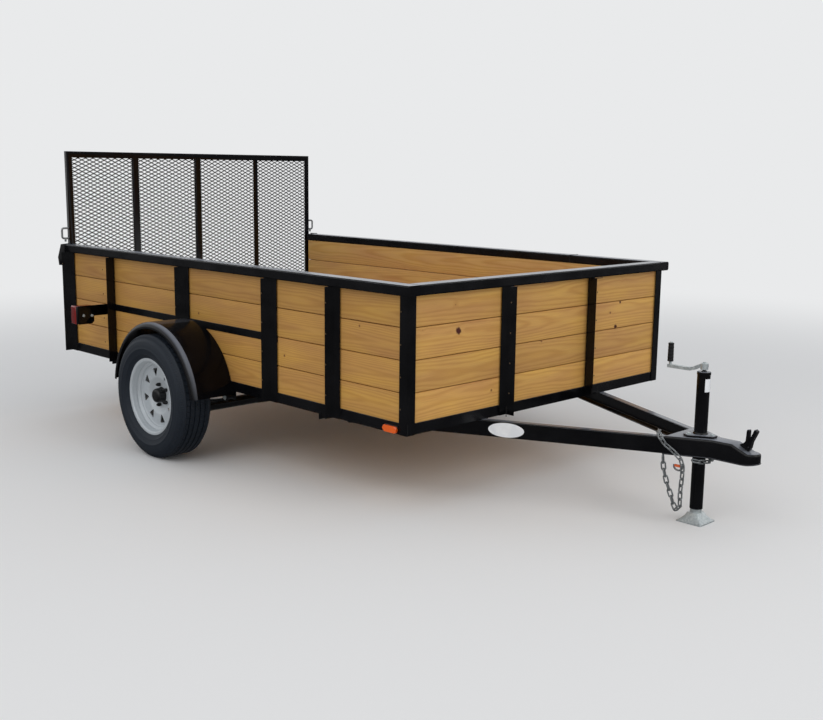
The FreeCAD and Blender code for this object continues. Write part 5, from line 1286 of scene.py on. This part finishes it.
def tail_lamps():
    """Box tail lamps: black moulded base, red lens with a rim, two plated studs through the plate."""
    for side, sign in SIDES:
        low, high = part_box(f"tail_lamp_{side}")
        split = high.x - LAMP_BASE
        bm = bmesh.new()
        block(bm, Vector((split, low.y, low.z)) + LAMP_INSET, high - LAMP_INSET, 4 * MM, 3)
        made_of(bm, f"tail_lamp_base_{side}", 38, HUB_BLACK, "frame", "black_grip")
        bm = bmesh.new()
        block(bm, low, (split, high.y, high.z), 7 * MM, 4)
        made_of(bm, f"tail_lamp_lens_{side}", 38, RED_LENS, "frame", "red_lens", f"tail_lamp_{side}")
        bm = bmesh.new()
        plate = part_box(f"lamp_bracket_{side}")[1].x
        for across, height in LAMP_STUDS:
            bolt_head(bm, (plate, sign * across * MM, height * MM), Vector((1, 0, 0)), 6 * MM, 7 * MM)
        made_of(bm, f"tail_lamp_studs_{side}", 30, ZINC, "frame", "zinc")


# A side marker: how far its base stands out, how far its lens stays inside the base, rounding of its corners
MARKER_BASE = 6 * MM
MARKER_INSET = 2 * MM
MARKER_ROUND = 12 * MM


def markers():
    """Amber side markers: domed lens on a black moulded base."""
    for k, (first, last) in enumerate(part_boxes("side_markers")):
        sign = 1 if first[1] > 0 else -1
        face, reach = sorted((abs(first[1]), abs(last[1])))
        side = "left" if sign > 0 else "right"
        split = face + MARKER_BASE
        for part, start, end, inset, width, segments, finish, slot in (
                ("base", face, split, 0.0, 1 * MM, 2, HUB_BLACK, "black_grip"),
                ("lens", split, reach, MARKER_INSET, 4.5 * MM, 4, AMBER_LENS, "amber_lens")):
            bm = bmesh.new()
            corners = (first[0] + inset, first[2] + inset), (last[0] - inset, last[2] - inset)
            slab(bm, rounded_box(*corners, MARKER_ROUND, 6), start, end, width, segments)
            for vert in bm.verts:
                x, z, y = vert.co
                vert.co = (x, sign * y, z)
            nodes = ("side_markers",) if part == "lens" and k == 0 else ()
            made_of(bm, f"side_marker_{part}_{side}", 38, finish, "frame", slot, *nodes)


# Gate's latch handles: bar's radius, drop of the hoop, its inner end and where the pins' washers lie across
LATCH_BAR = 6 * MM
LATCH_DROP = 62 * MM
LATCH_NEAR = 947 * MM
PIN_WASHER_SEAT = 962 * MM
# Washer's section: radius and distance from its seat, mm
PIN_WASHER = ((8.2, 0.2), (15, 0.2), (15, 2.4), (8.2, 2.4), (8.2, 0.2))


def gate_hardware():
    """Latch handles bent from plated bar, and washers on the hinge pins."""
    latch_low, latch_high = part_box("gate_latches")
    far = latch_high.y - LATCH_BAR
    near = LATCH_NEAR - 0.5 * MM
    middle = (LATCH_NEAR + far) / 2
    high = latch_high.z - LATCH_BAR
    low = high - LATCH_DROP
    bm = bmesh.new()
    for way in WAYS:
        hoop = [(HINGE_X, way * y, z) for y, z in ((near, high), (far, high), (far, low), (near, low))]
        swept(bm, rounded_route(hoop, 14 * MM, 6), LATCH_BAR, 14)
        swept(bm, [Vector((HINGE_X, way * middle, z)) for z in (low, latch_low.z + 2 * MM, latch_low.z)],
              LATCH_BAR, 14)
    made_of(bm, "gate_latch_handles", 50, CHAIN_ZINC, "gate", "zinc", "gate_latches")
    bm = bmesh.new()
    for way in WAYS:
        seat = Vector((HINGE_X, way * PIN_WASHER_SEAT, HINGE_HEIGHT))
        lathe(bm, scaled(PIN_WASHER, way), seat, "Y", 28)
    made_of(bm, "hinge_pin_washers", 30, BRONZE, "gate", "zinc")


# Pan head: radius and height, mm; the screws' place from a post's edge, and how many boards a wall has
SCREW_SECTION = ((4, 0), (4, 0.9), (3.2, 2.0), (1.4, 2.5), (0, 2.5))
SCREW_EDGE = 9 * MM
WALL_BOARDS = 4


def screws():
    """Pan-head screws through the posts into each board."""
    bm = bmesh.new()
    lathe(bm, scaled(SCREW_SECTION), (0, 0, 0), "Z", 12)
    tidy(bm)
    head = mesh_of(bm, "pan_head_screw", 50)
    low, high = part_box("planks_right")
    board = (high.z - low.z) / WALL_BOARDS
    heights = [low.z + (i + 0.5) * board for i in range(WALL_BOARDS)]
    places = []
    for node in ("posts_right", "posts_left", "posts_front"):
        for first, last in part_boxes(node):
            out = 1 if first[1] > 0 else -1
            if node == "posts_front":
                x, y, turn = last[0], first[1] + SCREW_EDGE, (0, math.pi / 2, 0)
            else:
                x, y = first[0] + SCREW_EDGE, out * max(abs(first[1]), abs(last[1]))
                turn = (-out * math.pi / 2, 0, 0)
            places += [((x, y, height), turn) for height in heights]
    piece("board_screws", scattered("board_screws", head, places, BRONZE), BRONZE, "frame", "zinc")


# Springs: their place across, the axle tube's radius and its drop under the wheels' middle, the seat and the
# leaves on it
SPRING_ACROSS = 937 * MM
AXLE_TUBE = 30 * MM
AXLE_DROP = 102 * MM
SPRING_SEAT = 5 * MM
LEAVES_THICK = 28 * MM
# U-bolts: the bar's radius, place beside the leaves' middle, ends over the leaves. Clamp plates on the leaves
U_BOLT_RADIUS = 5.6 * MM
U_BOLT_ACROSS = 29.5 * MM
U_BOLT_ENDS = 26 * MM
CLAMP_HALF = Vector((52, 36, 0)) * MM
CLAMP_TOP = 8 * MM
SHACKLE_INSET = 14 * MM


def springs():
    """Leaf springs with eased leaves, their U-bolts round the axle, clamp plates and shackle bolts."""
    eased("leaf_springs", 1.0, 20, "frame")
    bolts, plates, shackles = bmesh.new(), bmesh.new(), bmesh.new()
    tube_z = TYRE_RADIUS - AXLE_DROP
    leaves_top = tube_z + AXLE_TUBE + SPRING_SEAT + LEAVES_THICK
    bow = AXLE_TUBE + 6.2 * MM
    under = [(-bow * math.cos(a), tube_z - bow * math.sin(a))
             for a in (math.radians(t) for t in range(0, 181, 15))]
    ends = leaves_top + U_BOLT_ENDS
    for side in WAYS:
        seat = Vector((AXLE_X, side * SPRING_ACROSS, leaves_top))
        block(plates, seat - CLAMP_HALF + 0.4 * MM * UP, seat + CLAMP_HALF + CLAMP_TOP * UP, 1.5 * MM)
        for way in WAYS:
            y = seat.y + way * U_BOLT_ACROSS
            line = [(-bow, ends), *under, (bow, ends)]
            swept(bolts, [Vector((AXLE_X + x, y, z)) for x, z in line], U_BOLT_RADIUS, 12)
            for fore in WAYS:
                bolt_head(bolts, (AXLE_X + fore * bow, y, leaves_top + CLAMP_TOP), UP, 10 * MM, 12 * MM)
    for first, last in part_boxes("leaf_springs"):
        for x in (first[0] + SHACKLE_INSET, last[0] - SHACKLE_INSET):
            for way in WAYS:
                seat = (x, (first[1] + last[1]) / 2 + way * U_BOLT_ACROSS, last[2] - SHACKLE_INSET)
                bolt_head(shackles, seat, Vector((0, way, 0)), 10 * MM, 8 * MM)
    made_of(bolts, "axle_u_bolts", 32, ZINC, "frame", "zinc")
    made_of(plates, "spring_clamp_plates", 38, ENAMEL, "frame", "black_paint")
    made_of(shackles, "shackle_bolts", 30, ZINC, "frame", "zinc")


def bead_tree():
    """Weld bead: overlapping drops set every few millimetres along the carrier's edges."""
    tree, given = geometry_tree("weld_bead", (("Ripple", "Float"), ("Radius", "Float")))
    seam = put(tree, "GeometryNodeMeshToCurve", {"Mesh": given["Geometry"]})
    spaced = put(tree, "GeometryNodeResampleCurve", {"Curve": seam, "Length": given["Ripple"]}, mode="LENGTH")
    drop = put(tree, "GeometryNodeMeshIcoSphere", {"Radius": given["Radius"], "Subdivisions": 2})
    row = put(tree, "GeometryNodeInstanceOnPoints", {"Points": spaced, "Instance": drop})
    return close_tree(tree, row, ENAMEL)


# How far a bead stays from a rail's lower and upper edge, and from a post's sides
RAIL_MARGINS = (4 * MM, 3 * MM)
POST_MARGIN = 3 * MM
# Tongue channels' width across, their beads' length under the front rail, the coupler's welds over and down
# its sides, and the seam in the left top rail
CHANNEL_ACROSS = 38 * 1.1 * MM
TONGUE_WELD = 40 * MM
COUPLER_WELDS = (34 * MM, 70 * MM)
SEAM_BEHIND = 588 * MM


def welds():
    """Beads where posts meet the rails, the tongue meets the frame and the coupler meets the tongue."""
    lines = []
    rail_low, rail_high = (corner.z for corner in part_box("main_rail_right"))
    rail_run = (rail_low + RAIL_MARGINS[0], rail_high - RAIL_MARGINS[1])
    top_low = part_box("top_rail_right")[0].z
    for node in ("posts_right", "posts_left"):
        for first, last in part_boxes(node):
            out = 1 if first[1] > 0 else -1
            lines += [[(x, out * RAIL_FACE, z) for z in rail_run] for x in (first[0], last[0])]
            ends = (first[0] + POST_MARGIN, last[0] - POST_MARGIN)
            lines.append([(x, out * POST_FACE, top_low) for x in ends])
    for first, last in part_boxes("posts_front"):
        lines += [[(last[0] - ANGLE_WALL, y, z) for z in rail_run] for y in (first[1], last[1])]
        lines.append([(last[0], y, top_low) for y in (first[1] + POST_MARGIN, last[1] - POST_MARGIN)])
    front, tongue_top = FRONT_FACE - ANGLE_WALL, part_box("tongue_right")[1].z
    rear, high = COUPLER_LOW.x, COUPLER_HIGH.z - COUPLER_WALL
    for way in WAYS:
        for inset in (0, CHANNEL_ACROSS):
            y = way * (tongue_line(0.0) - inset)
            lines.append([(x, y, tongue_top) for x in (front - TONGUE_WELD, front)])
        y = way * tongue_line(rear - FRONT_FACE)
        lines.append([(rear, y - way * COUPLER_WELDS[0], high), (rear, y, high)])
        lines.append([(rear, y, high), (rear, y, high - COUPLER_WELDS[1])])
    seam = FRONT_FACE - SEAM_BEHIND
    low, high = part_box("top_rail_left")
    lines.append([(seam, y, high.z) for y in (low.y, high.y)])
    lines.append([(seam, low.y, z) for z in (low.z + RAIL_MARGINS[0], high.z)])
    carrier = bpy.data.meshes.new("weld_lines")
    carrier.from_pydata([point for line in lines for point in line],
                        [(2 * i, 2 * i + 1) for i in range(len(lines))], [])
    mesh = grown("weld_beads", bead_tree(), {"Ripple": 2.6 * MM, "Radius": 1.9 * MM}, carrier)
    mesh.shade_smooth()
    piece("weld_beads", mesh, ENAMEL, "frame", "black_paint")


# Oval on the right channel: middle ahead of the front face, height, and half of its length and width
OVAL_AHEAD = 104.5 * MM
OVAL_HEIGHT = 347 * MM
OVAL_HALVES = (85 * MM, 34 * MM)
# Label on the jack's tube: where it looks and half of its turn, degrees, foot and top, distances off the tube
LABEL_FACING = -8
LABEL_HALF_TURN = 37
LABEL_HEIGHTS = (589 * MM, 646 * MM)
LABEL_STANDS = (0.15 * MM, 0.5 * MM)


def oval():
    """Blank pale oval on the right channel."""
    way = Vector((1, TONGUE_SLOPE, 0)).normalized()
    out = Vector((way.y, -way.x, 0))
    centre = Vector((FRONT_FACE + OVAL_AHEAD, -tongue_line(OVAL_AHEAD), OVAL_HEIGHT))
    line = [math.cos(a) * OVAL_HALVES[0] * way + math.sin(a) * OVAL_HALVES[1] * UP
            for a in (2 * math.pi * k / 64 for k in range(64))]
    bm = bmesh.new()
    prism(bm, *([centre + point + stand * out for point in line] for stand in (0.1 * MM, 0.7 * MM)))
    made_of(bm, "blank_oval_film", 30, WHITE_VINYL, "frame", "silver_paint")


def jack_label():
    """Blank label wrapped on the jack's tube."""
    inner, outer = (JACK_TUBE + stand for stand in LABEL_STANDS)
    foot, top = LABEL_HEIGHTS
    half_turn = math.radians(LABEL_HALF_TURN)
    section = [(inner, foot), (outer, foot), (outer, top), (inner, top), (inner, foot)]
    bm = bmesh.new()
    lathe(bm, section, JACK_LINE, "Z", 24, math.radians(LABEL_FACING) - half_turn, 2 * half_turn)
    bmesh.ops.holes_fill(bm, edges=[e for e in bm.edges if len(e.link_faces) == 1], sides=0)
    made_of(bm, "blank_jack_label", 30, WHITE_VINYL, "frame", "silver_paint")


def studio_floor(backdrop):
    """Pale floor that fades into a pale backdrop, and looks darker in the paint's reflections."""
    made, tree = finish_tree("pale_studio_floor")
    place = put(tree, "ShaderNodeTexCoord").outputs["Object"]
    away = put(tree, "ShaderNodeVectorMath", {0: place}, operation="LENGTH").outputs["Value"]
    fade = put(tree, "ShaderNodeMapRange", {"Value": away}, span=(3.2, 9.0), interpolation_type="SMOOTHSTEP")
    paint = put(tree, "ShaderNodeBsdfDiffuse", {"Color": linear("#F1F0EE")})
    glow = put(tree, "ShaderNodeEmission", {"Color": backdrop, "Strength": 1.0})
    both = put(tree, "ShaderNodeMixShader", {0: fade, 1: paint, 2: glow})
    mirrored = put(tree, "ShaderNodeLightPath").outputs["Is Glossy Ray"]
    dim = put(tree, "ShaderNodeEmission", {"Color": linear("#5A5A5C"), "Strength": 1.0})
    shown = put(tree, "ShaderNodeMixShader", {0: mirrored, 1: both, 2: dim})
    put(tree, "ShaderNodeOutputMaterial", {"Surface": shown})
    bm = bmesh.new()
    bmesh.ops.create_circle(bm, cap_ends=True, segments=96, radius=80.0)
    mesh = mesh_of(bm, "studio_floor")
    mesh.materials.append(made)
    floor = linked("studio_floor", mesh)


def overcast(backdrop):
    """Soft overcast light, behind a backdrop that the camera, mirrors and glass see."""
    world = bpy.data.worlds.new("overcast")
    bpy.context.scene.world = world
    world.use_nodes = True
    tree = world.node_tree
    tree.nodes.clear()
    ray = put(tree, "ShaderNodeLightPath").outputs
    seen = ray["Is Camera Ray"]
    for kind in ("Is Glossy Ray", "Is Transmission Ray"):
        seen = put(tree, "ShaderNodeMath", {0: seen, 1: ray[kind]}, operation="MAXIMUM")
    shown = put(tree, "ShaderNodeBackground", {"Color": backdrop, "Strength": 1.0})
    light = put(tree, "ShaderNodeBackground", {"Color": linear("#F2F5FA"), "Strength": 0.68})
    sky = put(tree, "ShaderNodeMixShader", {0: seen, 1: light, 2: shown})
    put(tree, "ShaderNodeOutputWorld", {"Surface": sky})


def lamps():
    """Broad soft lamps, aimed at the trailer's middle."""
    for name, place, side, power in LAMPS:
        lamp = bpy.data.lights.new(name, "AREA")
        lamp.shape = "SQUARE"
        lamp.size = side
        lamp.energy = power
        holder = linked(name, lamp)
        holder.location = place
        holder.rotation_mode = "QUATERNION"
        holder.rotation_quaternion = (LAMPS_AIM - Vector(place)).to_track_quat("-Z", "Y")


def camera():
    """The photograph's camera, from its azimuth, elevation and roll."""
    azimuth, elevation, roll = (math.radians(a) for a in (CAMERA_AZIMUTH, CAMERA_ELEVATION, CAMERA_ROLL))
    back = Vector((math.sin(azimuth) * math.cos(elevation), -math.cos(azimuth) * math.cos(elevation),
                   math.sin(elevation)))
    right = UP.cross(back).normalized()
    up = back.cross(right)
    rolled_right = math.cos(roll) * right + math.sin(roll) * up
    rolled_up = math.cos(roll) * up - math.sin(roll) * right
    lens = bpy.data.cameras.new("photo_camera")
    lens.lens = CAMERA_LENS
    holder = linked("photo_camera", lens)
    place = Vector((FRONT_FACE + CAMERA_AHEAD, CAMERA_ACROSS, CAMERA_HEIGHT))
    turn = Matrix((rolled_right, rolled_up, back)).transposed().to_4x4()
    holder.matrix_world = Matrix.Translation(place) @ turn
    bpy.context.scene.camera = holder


for row in BOARDS:
    boards(*row)
for width, shortest, body, nodes in EASED_STEEL:
    for node in nodes:
        eased(node, width, shortest, body)
gate_sheet()
for side, sign in SIDES:
    for make in (tyre, rim_barrel, rim_disc, hub, fender):
        make(side, sign)
for make in (coupler, coupler_latch, jack_tube, jack_bolts, jack_crank, jack_grip, jack_foot, chains,
             tail_lamps, markers, gate_hardware, springs, screws, welds, oval, jack_label):
    make()
BACKDROP = linear("#E9EAEB")
studio_floor(BACKDROP)
overcast(BACKDROP)
lamps()
camera()
bpy.context.scene.view_settings.view_transform = "Standard"
